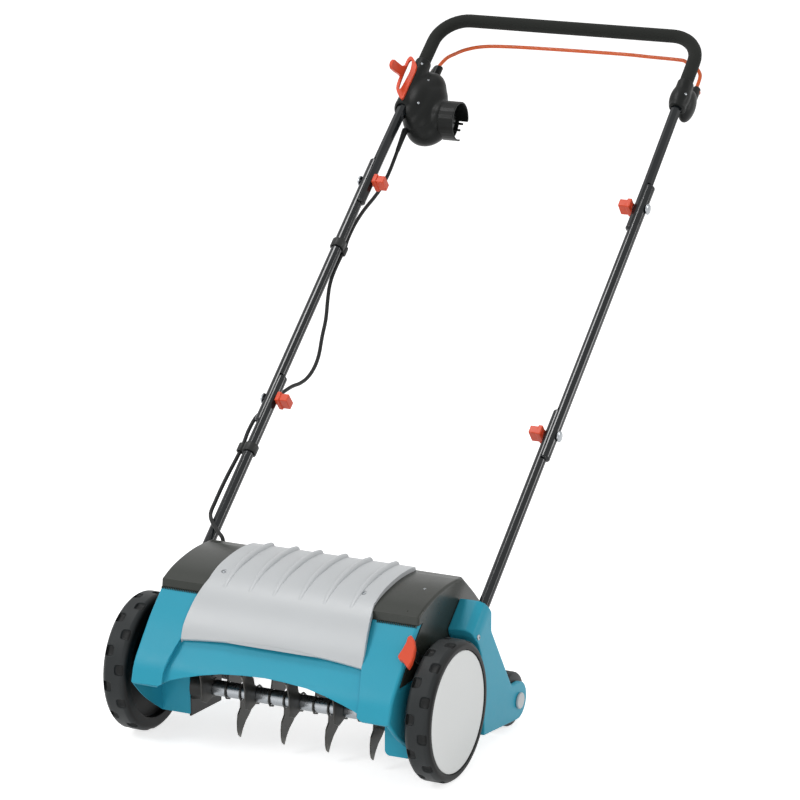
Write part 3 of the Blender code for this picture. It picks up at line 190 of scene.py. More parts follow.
# Lead: a 6 mm rubber cord from the switch box down the left tubes to the motor cover, in two runs
# that meet in the middle clip. Each run crosses one fold.
AXLE_Y = -0.4424256630767503
SLOPE = radians(39.6)
FOLD = (0.3723 + AXLE_Y, 0.3974)
MIDDLE_LENGTH = 0.4280
LEAD_THICK = 0.0060
LEAD_UPPER = (
    (-.2213, .1420, -.0255), (-.2200, .1290, -.0245), (-.2185, .1120, -.0235), (-.2165, .0850, -.0225),
    (-.2220, .0450, -.0350), (-.2320, .0150, -.0450), (-.2333, -.0330, -.0300), (-.2320, -.0700, -.0200),
    (-.2300, -.1020, -.0155), (-.2280, -.1180, -.0145), (-.2280, -.1275, -.0145))
LEAD_LOWER = (
    (-.2280, .2995, -.0145), (-.2280, .2890, -.0145), (-.2290, .2620, -.0155), (-.2323, .2420, -.0250),
    (-.2350, .2247, -.0420), (-.2315, .1960, -.0550), (-.2306, .1700, -.0640), (-.2290, .1410, -.0750),
    (-.2295, .1180, -.0780), (-.2300, .0950, -.0720), (-.2315, .0760, -.0610), (-.2330, .0600, -.0470),
    (-.2345, .0405, -.0340), (-.2350, .0220, -.0230), (-.2380, .0040, -.0165), (-.2430, -.0130, -.0130),
    (-.2455, -.0330, -.0060), (-.2450, -.0600, -.0020), (-.2425, -.0830, .0000), (-.2425, -.1030, .0000),
    (-.2450, -.1390, .0000), (-.2455, -.1650, .0010), (-.2450, -.1935, .0020), (-.2410, -.2180, .0070),
    (-.2270, -.2370, .0145), (-.2110, -.2520, .0170), (-.1990, -.2620, .0190), (-.1960, -.2690, .0130))
UPPER_BEND, LOWER_BEND = (0.0300, -0.0900), (0.0700, -0.0800)


def on_handle(x, along, above=0.0, start=0.0):
    """A point on the handle: across, along the tubes from the lower bolts and square to them."""
    s = along + start
    y = FOLD[0] + s * cos(SLOPE) - above * sin(SLOPE)
    return Vector((x, y, FOLD[1] + s * sin(SLOPE) + above * cos(SLOPE)))


def flowing(points, steps):
    """A smooth line through the points, with so many steps between two of them."""
    line = [Vector(p) for p in points]
    line = [2 * line[0] - line[1], *line, 2 * line[-1] - line[-2]]
    found = []
    for a, b, c, d in zip(line, line[1:], line[2:], line[3:]):
        for t in (k / steps for k in range(steps)):
            found.append(0.5 * (2 * b + (c - a) * t + (2 * a - 5 * b + 4 * c - d) * t * t
                                + (3 * b - a - 3 * c + d) * t ** 3))
    return [*found, line[-2]]


def alone(piece=None):
    """Leaves only this piece selected and active, out of edit mode."""
    if bpy.context.object and bpy.context.object.mode != "OBJECT":
        bpy.ops.object.mode_set(mode="OBJECT")
    bpy.ops.object.select_all(action="DESELECT")
    if piece:
        piece.select_set(True)
        bpy.context.view_layer.objects.active = piece


def round_bar(name, line, radius, sides=4, swell=None):
    """A round bar or cord bent along a line, with closed ends; swell scales its radius on the way."""
    alone()
    bpy.ops.curve.primitive_nurbs_path_add()
    made = bpy.context.active_object
    made.name = name
    made.data.splines.clear()
    run = made.data.splines.new("POLY")
    run.points.add(len(line) - 1)
    for k, (point, place) in enumerate(zip(run.points, line)):
        point.co = (*place, 1.0)
        point.radius = swell[k] if swell else 1.0
    made.data.bevel_depth, made.data.bevel_resolution, made.data.use_fill_caps = radius, sides, True
    bpy.ops.object.convert(target="MESH")
    return bpy.context.active_object


def finished(piece, material, slot, body, *nodes_replaced, smooth=38.0):
    """Gives a piece its finish and its smooth faces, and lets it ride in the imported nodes' place."""
    alone(piece)
    piece.data.materials.clear()
    piece.data.materials.append(material)
    bpy.ops.object.shade_smooth_by_angle(angle=radians(smooth))
    if body:
        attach(piece, body)
    if nodes_replaced:
        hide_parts(*nodes_replaced)
    return piece


def rubber_finish(name, tone, roughness, grain, axle=None):
    """Soft rubber or matte plastic: a fine grain and a dusty drift of tone. With an axle it is a
    tyre's, with painted shade: near-black on all that lies nearer the axle than the tread, the pockets'
    floors, the web and the sides."""
    material, nodes, sockets = new_finish(name, Specular_IOR_Level=0.22)
    where = nodes.place()
    drift, fine = nodes.noise(where, 14.0, 4.0), nodes.noise(where, grain, 3.0)
    colour = nodes.between(drift * 0.6 + fine * 0.3, screen(*tone), scaled(tone, 1.35, 0.004))
    if axle:
        # Painted shade: all that lies nearer the axle than the tread (the pockets' floors, the web and the
        # sides) is darkened towards near-black.
        outside_painted_shade = nodes.steps(nodes.reach(where, axle), 0.0950, 0.0985)
        colour = nodes.between(outside_painted_shade, screen(8, 9, 9), colour)
    nodes.feed(sockets["Base Color"], colour)
    nodes.feed(sockets["Roughness"], drift * 0.14 + (roughness - 0.07))
    nodes.feed(sockets["Normal"], nodes.bump(fine, 0.25))
    return material


lead_rubber = rubber_finish("cord_rubber", (28, 29, 29), 0.50, 900.0)


def lead_run(name, points, start, bend, node):
    """One run of the lead, laid along a stretch of the handle."""
    line = flowing([on_handle(*p, start) for p in points], 3)
    length = sum((b - a).length for a, b in zip(line, line[1:]))
    run = finished(round_bar(name, line, LEAD_THICK / 2, 3), lead_rubber, "lead_rubber", None, node)
    on_handle(0.0, bend[0], 0.0, start)
    on_handle(0.0, bend[1], 0.0, start)
    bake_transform(run)
    return line


upper_line = lead_run("lead_to_middle_clip", LEAD_UPPER, MIDDLE_LENGTH,
                      UPPER_BEND, "lead_upper")
lead_run("lead_to_cover", LEAD_LOWER, 0.0, LOWER_BEND, "lead_lower")


# Blade tunnel: the black moulding over the blades, which carries the motor and the axles. Like its kin it
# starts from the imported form, its triangles merged, and gets the radii and the grain that a mould gives.
def moulded_finish(name, tone, roughness, shade=0.10, shine=0.32):
    """Moulded plastic: slow drifts of tone and gloss over a fine eroded grain."""
    material, nodes, sockets = new_finish(name, Specular_IOR_Level=shine)
    where = nodes.place()
    drift, scuff = nodes.noise(where, 7.0, 3.0), nodes.noise(where, 90.0, 6.0)
    fine = nodes.noise(where, 1500.0)
    dark, light = scaled(tone, 1 - shade), scaled(tone, 1 + shade)
    nodes.feed(sockets["Base Color"], nodes.between(drift * 0.7 + fine * 0.3, dark, light))
    nodes.feed(sockets["Roughness"], scuff * 0.10 + drift * 0.06 + (roughness - 0.08))
    nodes.feed(sockets["Normal"], nodes.bump(fine, 0.16))
    return material


def copied(name, source):
    """A piece with its own copy of another one's mesh, selected alone."""
    made = bpy.data.objects.new(name, source.data.copy())
    bpy.context.scene.collection.objects.link(made)
    alone(made)
    return made


def from_packed(name, node, merged="whole"):
    """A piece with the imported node's form, its triangles merged into whole faces, into quads, where a
    face has a hole in it, or not at all."""
    made = copied(name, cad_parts[node])
    bpy.ops.object.mode_set(mode="EDIT")
    bpy.ops.mesh.select_all(action="SELECT")
    bpy.ops.mesh.remove_doubles(threshold=0.00002)
    if merged == "whole":
        bpy.ops.mesh.dissolve_limited(angle_limit=radians(0.5))
    elif merged == "quads":
        bpy.ops.mesh.tris_convert_to_quads(face_threshold=radians(1.0), shape_threshold=radians(180.0))
    bpy.ops.object.mode_set(mode="OBJECT")
    bpy.ops.mesh.customdata_custom_splitnormals_clear()
    return made


def opened(piece, kind, wanted):
    """Edit mode on a piece, with the points, edges or faces selected that the test wants."""
    alone(piece)
    bpy.ops.object.mode_set(mode="EDIT")
    bpy.ops.mesh.select_mode(type=kind)
    bpy.ops.mesh.select_all(action="DESELECT")
    shape = bmesh.from_edit_mesh(piece.data)
    for part in {"VERT": shape.verts, "EDGE": shape.edges, "FACE": shape.faces}[kind]:
        if wanted(part):
            part.select_set(True)
    bmesh.update_edit_mesh(piece.data)


def middle(edge):
    return (edge.verts[0].co + edge.verts[1].co) / 2


def span_x(edge):
    return abs(edge.verts[0].co.x - edge.verts[1].co.x)


def softened(piece, width, steps=2, least=32.0, where=lambda edge: True):
    """Rounds the edges that turn more than the least angle and that the test picks."""
    opened(piece, "EDGE",
           lambda e: len(e.link_faces) == 2 and e.calc_face_angle(0.0) > radians(least) and where(e))
    bpy.ops.mesh.bevel(offset=width, segments=steps, affect="EDGES")
    bpy.ops.object.mode_set(mode="OBJECT")
    return piece


def settled(piece, kind, **settings):
    """Adds a modifier and applies it."""
    alone(piece)
    step = piece.modifiers.new(kind.lower(), kind)
    for name, value in settings.items():
        setattr(step, name, value)
    bpy.ops.object.modifier_apply(modifier=step.name)
    return piece


def even_faces(piece):
    """Lets the broad faces of a rounded piece shade flat."""
    return settled(piece, "WEIGHTED_NORMAL", keep_sharp=True, weight=80)


black_plastic = moulded_finish("black_moulding", (30, 31, 30), 0.44)
tunnel = softened(from_packed("tunnel_moulding", "blade_tunnel", "quads"), 0.0006, 1)
even_faces(finished(tunnel, black_plastic, "black_plastic", "deck", "blade_tunnel"))

# Front shell: the teal nose, a thin moulding clipped over the tunnel. Its columns' inner steps lean in
# towards the top, and the opening under it has a rounded corner.
teal_plastic = moulded_finish("teal_moulding", (46, 158, 184), 0.40, shine=0.22)
HALF_WIDTH, STEP_X, STEP_REACH = 0.2021, 0.1535, 0.0022
CORNER_X, CORNER_Z, CORNER_R, OVERLAP = 0.1655, 0.0390, 0.0085, 0.0005
LEAN_Z, LEAN_TURN_Z, LEAN_LOW, LEAN_HIGH = 0.1360, 0.1720, 0.32, 0.17


def cut_away(piece, tool):
    """Takes a tool's form out of a piece, and removes the tool."""
    settled(piece, "BOOLEAN", object=tool, operation="DIFFERENCE", solver="EXACT")
    bpy.data.objects.remove(tool)


def front_corner(edge):
    """Whether an edge runs up one of the nose's outer corners."""
    spot = middle(edge)
    return (abs(abs(spot.x) - HALF_WIDTH) < 0.0002 and span_x(edge) < 0.0002 and spot.y < AXLE_Y + 0.018
            and 0.042 < spot.z < 0.2215)


shell = from_packed("nose_moulding", "front_shell", "quads")
alone()
centre = CORNER_R / 2 - OVERLAP
bpy.ops.mesh.primitive_cube_add(size=1.0, location=(CORNER_X + centre, AXLE_Y - 0.0350, CORNER_Z + centre),
                                scale=(CORNER_R + 2 * OVERLAP, 0.0400, CORNER_R + 2 * OVERLAP))
corner = bpy.context.active_object
alone()
bpy.ops.mesh.primitive_cylinder_add(vertices=48, radius=CORNER_R, depth=0.0600, rotation=(pi / 2, 0.0, 0.0),
                                    location=(CORNER_X + CORNER_R, AXLE_Y - 0.0350, CORNER_Z + CORNER_R))
cut_away(corner, bpy.context.active_object)
cut_away(shell, corner)
opened(shell, "VERT", lambda v: v.co.z > LEAN_Z and abs(abs(v.co.x) - STEP_X) < STEP_REACH)
for height in sorted({round(v.co.z, 5) for v in bmesh.from_edit_mesh(shell.data).verts if v.select}):
    lean = LEAN_LOW * (min(height, LEAN_TURN_Z) - LEAN_Z) + LEAN_HIGH * max(height - LEAN_TURN_Z, 0.0)
    for side in (-1, 1):
        opened(shell, "VERT",
               lambda v: abs(v.co.z - height) < 0.00002 and abs(side * v.co.x - STEP_X) < STEP_REACH)
        bpy.ops.transform.translate(value=(-side * lean, 0.0, 0.0))
softened(shell, 0.0045, 4, 25.0, front_corner)
softened(shell, 0.0009, 2, 32.0, lambda e: e.calc_length() > 0.0024 and abs(middle(e).x) < HALF_WIDTH - 0.005)
even_faces(finished(shell, teal_plastic, "teal_plastic", "deck", "front_shell"))

# Motor cover: the anthracite hood over the motor, one glossier moulding behind the nose. A row of
# short grip ribs runs along each side where it meets the nose.
anthracite_plastic = moulded_finish("anthracite_moulding", (48, 51, 46), 0.30)
hood = from_packed("motor_hood", "motor_cover")
softened(hood, 0.0040, 4, 25.0,
         lambda e: abs(abs(middle(e).x) - HALF_WIDTH) < 0.0002 and middle(e).z > 0.2230)
softened(hood, 0.0008, 2, 32.0, lambda e: e.calc_length() > 0.0022 and middle(e).z < 0.2225)
even_faces(finished(hood, anthracite_plastic, "anthracite_plastic", "deck", "motor_cover"))

SIDES = ((-1, "left"), (1, "right"))
GRIP_PITCH, GRIP_COUNT, GRIP_SIZE = 0.0028, 22, (0.0013, 0.0034, 0.0034)
GRIP_X0, GRIP_Y, GRIP_Z = 0.1405, AXLE_Y - 0.0188, 0.2213
for side, name in SIDES:
    alone()
    bpy.ops.mesh.primitive_cube_add(size=1.0, location=(side * GRIP_X0, GRIP_Y, GRIP_Z), scale=GRIP_SIZE)
    ribs = bpy.context.active_object
    ribs.name = "grip_ribs_" + name
    bpy.ops.object.transform_apply(location=True, rotation=True, scale=True)
    softened(ribs, 0.0004, 2)
    settled(ribs, "ARRAY", count=GRIP_COUNT, use_relative_offset=False, use_constant_offset=True,
            constant_offset_displace=(side * GRIP_PITCH, 0.0, 0.0))
    finished(ribs, anthracite_plastic, "anthracite_plastic", "deck")

# Centre cover: the light grey lid over the hood, a thin moulding with a turned-down front lip and side
# skirts. Six ribs rise from its back edge, and two sunk screws hold it.
grey_plastic = moulded_finish("light_grey_moulding", (197, 200, 202), 0.34, 0.05)
LID_LINE = ((-0.0707, 0.1685), (-0.0630, 0.1870), (-0.0480, 0.2085), (-0.0300, 0.2265), (-0.0080, 0.2410),
            (0.0180, 0.2515), (0.0450, 0.2565), (0.0750, 0.2592), (0.1070, 0.2585), (0.1250, 0.2560))
LID_HALF, LID_BACK_HALF, LID_ARCH, LID_CELLS = 0.1416, 0.1300, 0.0085, 48
LID_LIP, LID_SKIRT, LID_THICK = (0.0, 0.0040, -0.0036), (0.0004, 0.0040, -0.0080), 0.0018
LID_NARROWS = (-0.0630, 0.0550)
LID_SCREWS, SCREW_Y, SCREW_Z = {"left": -0.1145, "right": 0.1055}, 0.0092, 0.2484


def faced_out():
    """Turns the faces of the piece in edit mode outwards, and leaves edit mode."""
    bpy.ops.mesh.select_all(action="SELECT")
    bpy.ops.mesh.normals_make_consistent(inside=False)
    bpy.ops.object.mode_set(mode="OBJECT")


lid_line = [Vector((0.0, y + AXLE_Y, z)) for y, z in LID_LINE]
rows = flowing(lid_line, 3)
alone()
bpy.ops.mesh.primitive_grid_add(x_subdivisions=LID_CELLS, y_subdivisions=1, size=1.0)
lid = bpy.context.active_object
lid.name = "centre_lid"
opened(lid, "VERT", lambda v: v.co.y > 0)
bpy.ops.mesh.delete(type="VERT")
bpy.ops.mesh.select_all(action="SELECT")
bpy.ops.transform.resize(value=(2 * LID_HALF, 0.0, 0.0))
bpy.ops.transform.translate(value=rows[0] + Vector((0.0, 0.5, 0.0)))
half = LID_HALF
for before, row in zip(rows, rows[1:]):
    share = min(max((row.y - AXLE_Y - LID_NARROWS[0]) / LID_NARROWS[1], 0.0), 1.0)
    wanted = LID_HALF + (LID_BACK_HALF - LID_HALF) * share
    bpy.ops.mesh.extrude_region_move(TRANSFORM_OT_translate={"value": row - before})
    bpy.ops.transform.resize(value=(wanted / half, 1.0, 1.0), center_override=row)
    half = wanted
for k in range(LID_CELLS // 2):
    out = k / (LID_CELLS // 2)
    opened(lid, "VERT",
           lambda v: abs(v.co.z - rows[0].z) < 0.0001 and abs(abs(v.co.x) - LID_HALF * out) < 0.0005)
    lift = LID_ARCH * (1 - out ** 2)
    bpy.ops.transform.translate(value=(0.0, lift * 0.30, lift))
opened(lid, "EDGE", lambda e: len(e.link_faces) == 1 and span_x(e) > 0.001
       and max(v.co.z for v in e.verts) < rows[0].z + LID_ARCH + 0.0002)
bpy.ops.mesh.extrude_region_move(TRANSFORM_OT_translate={"value": LID_LIP})
for side in (-1, 1):
    opened(lid, "EDGE", lambda e: len(e.link_faces) == 1 and span_x(e) < 0.002
           and side * middle(e).x > LID_BACK_HALF - 0.001)
    skirt = (-side * LID_SKIRT[0], *LID_SKIRT[1:])
    bpy.ops.mesh.extrude_region_move(TRANSFORM_OT_translate={"value": skirt})
faced_out()
settled(lid, "SOLIDIFY", thickness=LID_THICK, offset=-1.0)
softened(lid, 0.0007, 2, 50.0, lambda e: e.calc_length() > 0.0015)
for x in LID_SCREWS.values():
    alone()
    bpy.ops.mesh.primitive_cylinder_add(vertices=32, radius=0.0044, depth=0.0050,
                                        rotation=(radians(24.0), 0.0, 0.0),
                                        location=(x, AXLE_Y + SCREW_Y, SCREW_Z + 0.0012))
    cut_away(lid, bpy.context.active_object)
even_faces(finished(lid, grey_plastic, "light_grey_plastic", "deck", "centre_cover", smooth=32.0))


# Lid ribs: six low ridges, moulded in one with the lid, that grow out of it towards the back.
def outline(name, sides, radius, place, turn):
    """The ring that a rib or a turned piece is pulled from, selected in edit mode."""
    alone()
    bpy.ops.mesh.primitive_circle_add(vertices=sides, radius=radius, location=place, rotation=turn)
    made = bpy.context.active_object
    made.name = name
    bpy.ops.object.transform_apply(location=True, rotation=True, scale=True)
    bpy.ops.object.mode_set(mode="EDIT")
    bpy.ops.mesh.select_mode(type="VERT")
    bpy.ops.mesh.select_all(action="SELECT")
    return made


def capped(piece):
    """Closes the open ends of the piece in edit mode."""
    bpy.ops.mesh.select_mode(type="VERT")
    bpy.ops.mesh.select_all(action="DESELECT")
    bpy.ops.mesh.select_non_manifold()
    bpy.ops.mesh.fill_holes(sides=0)
    faced_out()
    return piece


def ridge(name, x, line, width, height):
    """A raised rib along a line: its section is pulled along, and grows out of the surface."""
    made = outline(name, 16, 1.0, (x, line[0].y, line[0].z), (pi / 2, 0.0, 0.0))
    before = 1.0, 1.0
    for k, point in enumerate(line):
        grown = min(1.0, (k + 0.35) / (len(line) * 0.45))
        size = width * (0.55 + 0.45 * grown), height * grown + 0.0004
        if k:
            bpy.ops.mesh.extrude_region_move(TRANSFORM_OT_translate={"value": point - line[k - 1]})
        bpy.ops.transform.resize(value=(size[0] / before[0], 1.0, size[1] / before[1]),
                                 center_override=(x, point.y, point.z))
        before = size
    return capped(made)


RIB_X = (-0.0997, -0.0590, -0.0210, 0.0195, 0.0580, 0.0996)
rib_line = flowing(lid_line[3:], 4)[2:]
for number, x in enumerate(RIB_X, 1):
    rib = ridge("lid_rib_%d" % number, x, rib_line, 0.0050, 0.0042)
    finished(rib, grey_plastic, "light_grey_plastic", "deck")


# Bearing collars: black conical bosses inside the nose's columns, moulded with the tunnel, which hold
# the ends of the blade shaft.
def turned(name, steps, sides=48, place=(0.0, 0.0), side=1):
    """A turned piece: a ring is pulled along X through (x, radius) steps, and its ends are closed."""
    made = outline(name, sides, steps[0][1], (side * steps[0][0], *place), (0.0, pi / 2, 0.0))
    for (x0, r0), (x1, r1) in zip(steps, steps[1:]):
        bpy.ops.mesh.extrude_region_move(TRANSFORM_OT_translate={"value": (side * (x1 - x0), 0.0, 0.0)})
        bpy.ops.transform.resize(value=(1.0, r1 / r0, r1 / r0), center_override=(side * x1, *place))
    bpy.ops.mesh.select_all(action="SELECT")
    bpy.ops.mesh.remove_doubles(threshold=0.000005)
    return capped(made)


SHAFT = (AXLE_Y - 0.0040, 0.0780)
COLLAR_SEAT, COLLAR_BORE = 0.1542, 0.0119
for side, name, face in ((-1, "left", 0.1290), (1, "right", 0.1350)):
    steps = ((face, COLLAR_BORE), (face, 0.0160), (face + 0.0010, 0.0172), (COLLAR_SEAT, 0.0215),
             (COLLAR_SEAT, COLLAR_BORE), (face, COLLAR_BORE))
    collar = turned("bearing_collar_" + name, steps, 48, SHAFT, side)
    finished(collar, black_plastic, "black_plastic", "deck")


# Screws: small bright pan heads with a round recess, in the lid, the hood and the side frames, and
# later in the switch box and its bracket.
def steel_finish(name, tone, roughness, ring_scale=(900.0, 40.0, 40.0)):
    """Bright steel with the fine rings or lines that turning and rolling leave."""
    material, nodes, sockets = new_finish(name, Metallic=1.0)
    where = nodes.place()
    drawn_out = nodes.node("ShaderNodeMapping", None, {"Vector": where, "Scale": ring_scale})
    lines = nodes.noise(drawn_out, 1.0, 4.0)
    cloud = nodes.noise(where, 60.0, 4.0)
    nodes.feed(sockets["Base Color"],
               nodes.between(lines * 0.5 + cloud * 0.5, scaled(tone, 0.72), screen(*tone)))
    nodes.feed(sockets["Roughness"], lines * 0.16 + cloud * 0.10 + (roughness - 0.12))
    nodes.feed(sockets["Normal"], nodes.bump(lines, 0.12, 0.0001))
    return material


bright_steel = steel_finish("bright_steel_turned", (172, 176, 180), 0.28)
SCREW_STEPS = ((-0.0060, 0.0014), (-0.0010, 0.0014), (-0.0008, 0.0026), (0.0000, 0.0028), (0.0006, 0.0026),
               (0.0010, 0.0020), (0.0012, 0.0011), (0.0004, 0.0010), (0.0003, 0.0003))
FRAME_SCREW, HOOD_SCREW = (0.2446, AXLE_Y + 0.0882, 0.1795), (0.1770, AXLE_Y + 0.0560, 0.2506)
pattern_screw = turned("pattern_screw", SCREW_STEPS, 24)


def screw(name, place, facing, body, size=1.0):
    """A copy of the pattern screw, its head facing a direction."""
    made = copied(name, pattern_screw)
    made.location = place
    made.scale = (size,) * 3
    made.rotation_euler = Vector(facing).to_track_quat("X", "Z").to_euler()
    bpy.ops.object.transform_apply(location=True, rotation=True, scale=True)
    return finished(made, bright_steel, "bright_steel", body)


for side, name in SIDES:
    screw("lid_screw_" + name, (LID_SCREWS[name], AXLE_Y + SCREW_Y, SCREW_Z - 0.0006), (0.0, -0.41, 0.91),
          "deck", 0.9)
    screw("frame_screw_" + name, (side * FRAME_SCREW[0], *FRAME_SCREW[1:]), (side, 0.0, 0.0), "deck", 1.5)
screw("hood_screw", HOOD_SCREW, (0.0, -0.04, 1.0), "deck", 0.8)


# Side frames: teal mouldings bolted to the tunnel's ends, each with a soft round socket for the lower
# tube and an arm that reaches back to the rear wheel.
def evened(piece, voxel, rounds):
    """Remakes a piece in fine even faces, and smooths them until its edges are soft."""
    alone(piece)
    piece.data.remesh_voxel_size, piece.data.remesh_voxel_adaptivity = voxel, 0.0
    bpy.ops.object.voxel_remesh()
    return settled(piece, "SMOOTH", factor=0.5, iterations=rounds)


def softly_moulded(name, node, voxel, rounds):
    return evened(from_packed(name, node, "not at all"), voxel, rounds)


for side, name in SIDES:
    arm = softly_moulded("side_moulding_" + name, "side_frame_" + name, 0.0014, 10)
    finished(arm, teal_plastic, "teal_plastic", "deck", "side_frame_" + name, smooth=60.0)

# Rear wheels: small black rollers with rounded shoulders and three grooves, moulded in one piece.
# Each turns on a pin with a grey cap.
WHEEL_AXLE = (AXLE_Y, 0.1000)
tyre_plastic = rubber_finish("tyre_moulding", (34, 37, 38), 0.50, 700.0, WHEEL_AXLE)
REAR_AXLE = (0.229 + AXLE_Y, 0.040)
REAR_INNER, REAR_OUTER, REAR_R, GROOVE_R = 0.2030, 0.2360, 0.0400, 0.0388
SHOULDER = ((0.0, 0.0053), (0.0, 0.0290), (0.0004, 0.0340), (0.0014, 0.0382), (0.0040, 0.0398),
            (0.0080, REAR_R))
for side, name in SIDES:
    steps = [(REAR_INNER + x, r) for x, r in SHOULDER]
    for groove in (0.0110, 0.0165, 0.0220):
        x = REAR_INNER + groove
        steps += [(x - 0.0010, REAR_R), (x - 0.0006, GROOVE_R), (x + 0.0006, GROOVE_R), (x + 0.0010, REAR_R)]
    steps += [*((REAR_OUTER - x, r) for x, r in reversed(SHOULDER)), steps[0]]
    wheel = turned("rear_roller_" + name, steps, 64, REAR_AXLE, side)
    finished(wheel, tyre_plastic, "tyre_plastic", "rear_wheel_" + name, "rear_wheel_" + name)
    cap = softened(from_packed("rear_cap_" + name, "rear_axle_" + name), 0.0012, 3)
    even_faces(finished(cap, grey_plastic, "light_grey_plastic", "deck", "rear_axle_" + name))

# Depth crank and its orange lever: a bent steel rod under the cover that lifts the front wheels,
# turned by a moulded lever that sticks out beside the nose.
crank = softened(from_packed("crank_rod", "depth_crank"), 0.0006, 2)
rod_steel = steel_finish("rod_steel", (150, 152, 154), 0.35)
even_faces(finished(crank, rod_steel, "bright_steel", "depth_crank", "depth_crank"))
orange_plastic = moulded_finish("orange_moulding", (220, 78, 46), 0.34, 0.08, shine=0.24)
lever = softened(from_packed("depth_grip", "depth_lever"), 0.0016, 3)
even_faces(finished(lever, orange_plastic, "orange_plastic", "depth_crank", "depth_lever"))

# Front wheels: a moulded tyre and web in one, with two staggered rows of shallow pockets in the tread.
# A light grey disc snaps into each wheel's outer side.
WHEEL_R = 0.1000
TYRE_STEPS = ((0.2330, 0.0063), (0.2330, 0.0180), (0.2330, 0.0790), (0.2332, 0.0800), (0.2345, 0.0802),
              (0.2450, 0.0802), (0.2466, 0.0804), (0.2466, 0.0812), (0.2466, 0.0866), (0.2470, 0.0870),
              (0.2545, 0.0870), (0.2554, 0.0873), (0.2556, 0.0882), (0.2556, 0.0926), (0.2552, 0.0940),
              (0.2530, 0.0970), (0.2500, 0.0992), (0.2484, 0.0999), (0.2470, WHEEL_R), (0.2380, WHEEL_R),
              (0.2366, WHEEL_R), (0.2352, WHEEL_R), (0.2262, WHEEL_R), (0.2248, 0.0999), (0.2232, 0.0992),
              (0.2202, 0.0970), (0.2180, 0.0940), (0.2176, 0.0926), (0.2176, 0.0820), (0.2180, 0.0802),
              (0.2190, 0.0800), (0.2270, 0.0800), (0.2283, 0.0797), (0.2285, 0.0785), (0.2285, 0.0200),
              (0.2283, 0.0185), (0.2270, 0.0180), (0.2186, 0.0180), (0.2178, 0.0178), (0.2176, 0.0170),
              (0.2176, 0.0075), (0.2180, 0.0064), (0.2330, 0.0063))
DISC_STEPS = ((0.2468, 0.0010), (0.2468, 0.0862), (0.2530, 0.0864), (0.2543, 0.0858), (0.2547, 0.0846),
              (0.2545, 0.0820), (0.2543, 0.0700), (0.2542, 0.0400), (0.2542, 0.0010))
TREAD_CELLS, POCKETS, POCKET_FLOOR = 72, 12, 0.958


def in_pocket(face):
    """Whether a tread face lies in one of the pockets, which alternate between two rows."""
    spot = face.calc_center_median()
    x, y, z = abs(spot.x), spot.y - WHEEL_AXLE[0], spot.z - WHEEL_AXLE[1]
    if hypot(y, z) < 0.0965 or abs(face.normal.x) > 0.75:
        return False
    cell = (atan2(z, y) / (2 * pi) * TREAD_CELLS) % (TREAD_CELLS / POCKETS)
    outer_row = 0.2380 < x < 0.2535 and cell < 2.0
    inner_row = 0.2197 < x < 0.2352 and 3.0 < cell < 5.0
    return outer_row or inner_row


tyre = turned("tyre_pattern", TYRE_STEPS, TREAD_CELLS, WHEEL_AXLE)
opened(tyre, "FACE", in_pocket)
bpy.ops.mesh.inset(thickness=0.0010, use_individual=False)
bpy.ops.mesh.extrude_region_move()
bpy.ops.transform.resize(value=(1.0, POCKET_FLOOR, POCKET_FLOOR), center_override=(0.0, *WHEEL_AXLE))
bpy.ops.object.mode_set(mode="OBJECT")
settled(tyre, "SUBSURF", levels=2, render_levels=2)
disc_plastic = moulded_finish("disc_moulding", (228, 230, 229), 0.42, 0.03)
for side, name in SIDES:
    rim = copied("tyre_and_web_" + name, tyre)
    if side < 0:
        rim.scale = (-1.0, 1.0, 1.0)
        bpy.ops.object.transform_apply(location=True, rotation=True, scale=True)
        bpy.ops.object.mode_set(mode="EDIT")
        faced_out()
    finished(rim, tyre_plastic, "tyre_plastic", "front_wheel_" + name, "front_tyre_" + name)
    disc = turned("wheel_disc_" + name, DISC_STEPS, 96, WHEEL_AXLE, side)
    finished(disc, disc_plastic, "light_grey_plastic", "front_wheel_" + name, "front_disc_" + name)
bpy.data.objects.remove(tyre)

# Blade shaft: bright turned spacers between twelve stamped claws, all keyed to one shaft. The claws are
# dark spring steel, worn bright towards their tips.
BLADES, BLADE_GAP, LAST_BLADE, SPACER_R, NECK_R = 12, 0.0233, 0.1315, 0.01125, 0.0108
steps = [(-0.1825, 0.0074), (-0.1540, 0.0075), (-0.1535, 0.01090), (-0.1532, SPACER_R)]
for k in range(BLADES):
    x = LAST_BLADE - (BLADES - 1 - k) * BLADE_GAP
    steps += [(x - 0.0018, SPACER_R), (x - 0.0013, NECK_R), (x + 0.0013, NECK_R), (x + 0.0018, SPACER_R)]
steps += [(0.1532, SPACER_R), (0.1535, 0.01090), (0.1540, 0.0075), (0.1870, 0.0074)]
shaft = turned("spacers_and_shaft", steps, 48, SHAFT)
finished(shaft, bright_steel, "bright_steel", "blade_shaft", "blade_shaft")

blade_material, nodes, sockets = new_finish("claw_steel")
where = nodes.place()
scratch = nodes.noise(where, 220.0, 6.0)
worn = nodes.steps(nodes.reach(where, SHAFT) + scratch * 0.020, 0.062, 0.078) * 0.7
skin = nodes.between(scratch, screen(44, 44, 42), screen(72, 71, 67))
nodes.feed(sockets["Base Color"], nodes.between(worn, skin, screen(150, 148, 142)))
nodes.feed(sockets["Metallic"], worn * 0.5 + 0.4)
nodes.feed(sockets["Roughness"], scratch * 0.2 + 0.30)
nodes.feed(sockets["Normal"], nodes.bump(scratch, 0.2))
for k in range(1, BLADES + 1):
    claw = softened(from_packed("claw_%02d" % k, "blade_%02d" % k), 0.0004, 2)
    even_faces(finished(claw, blade_material, "blade_steel", "blade_shaft", "blade_%02d" % k))

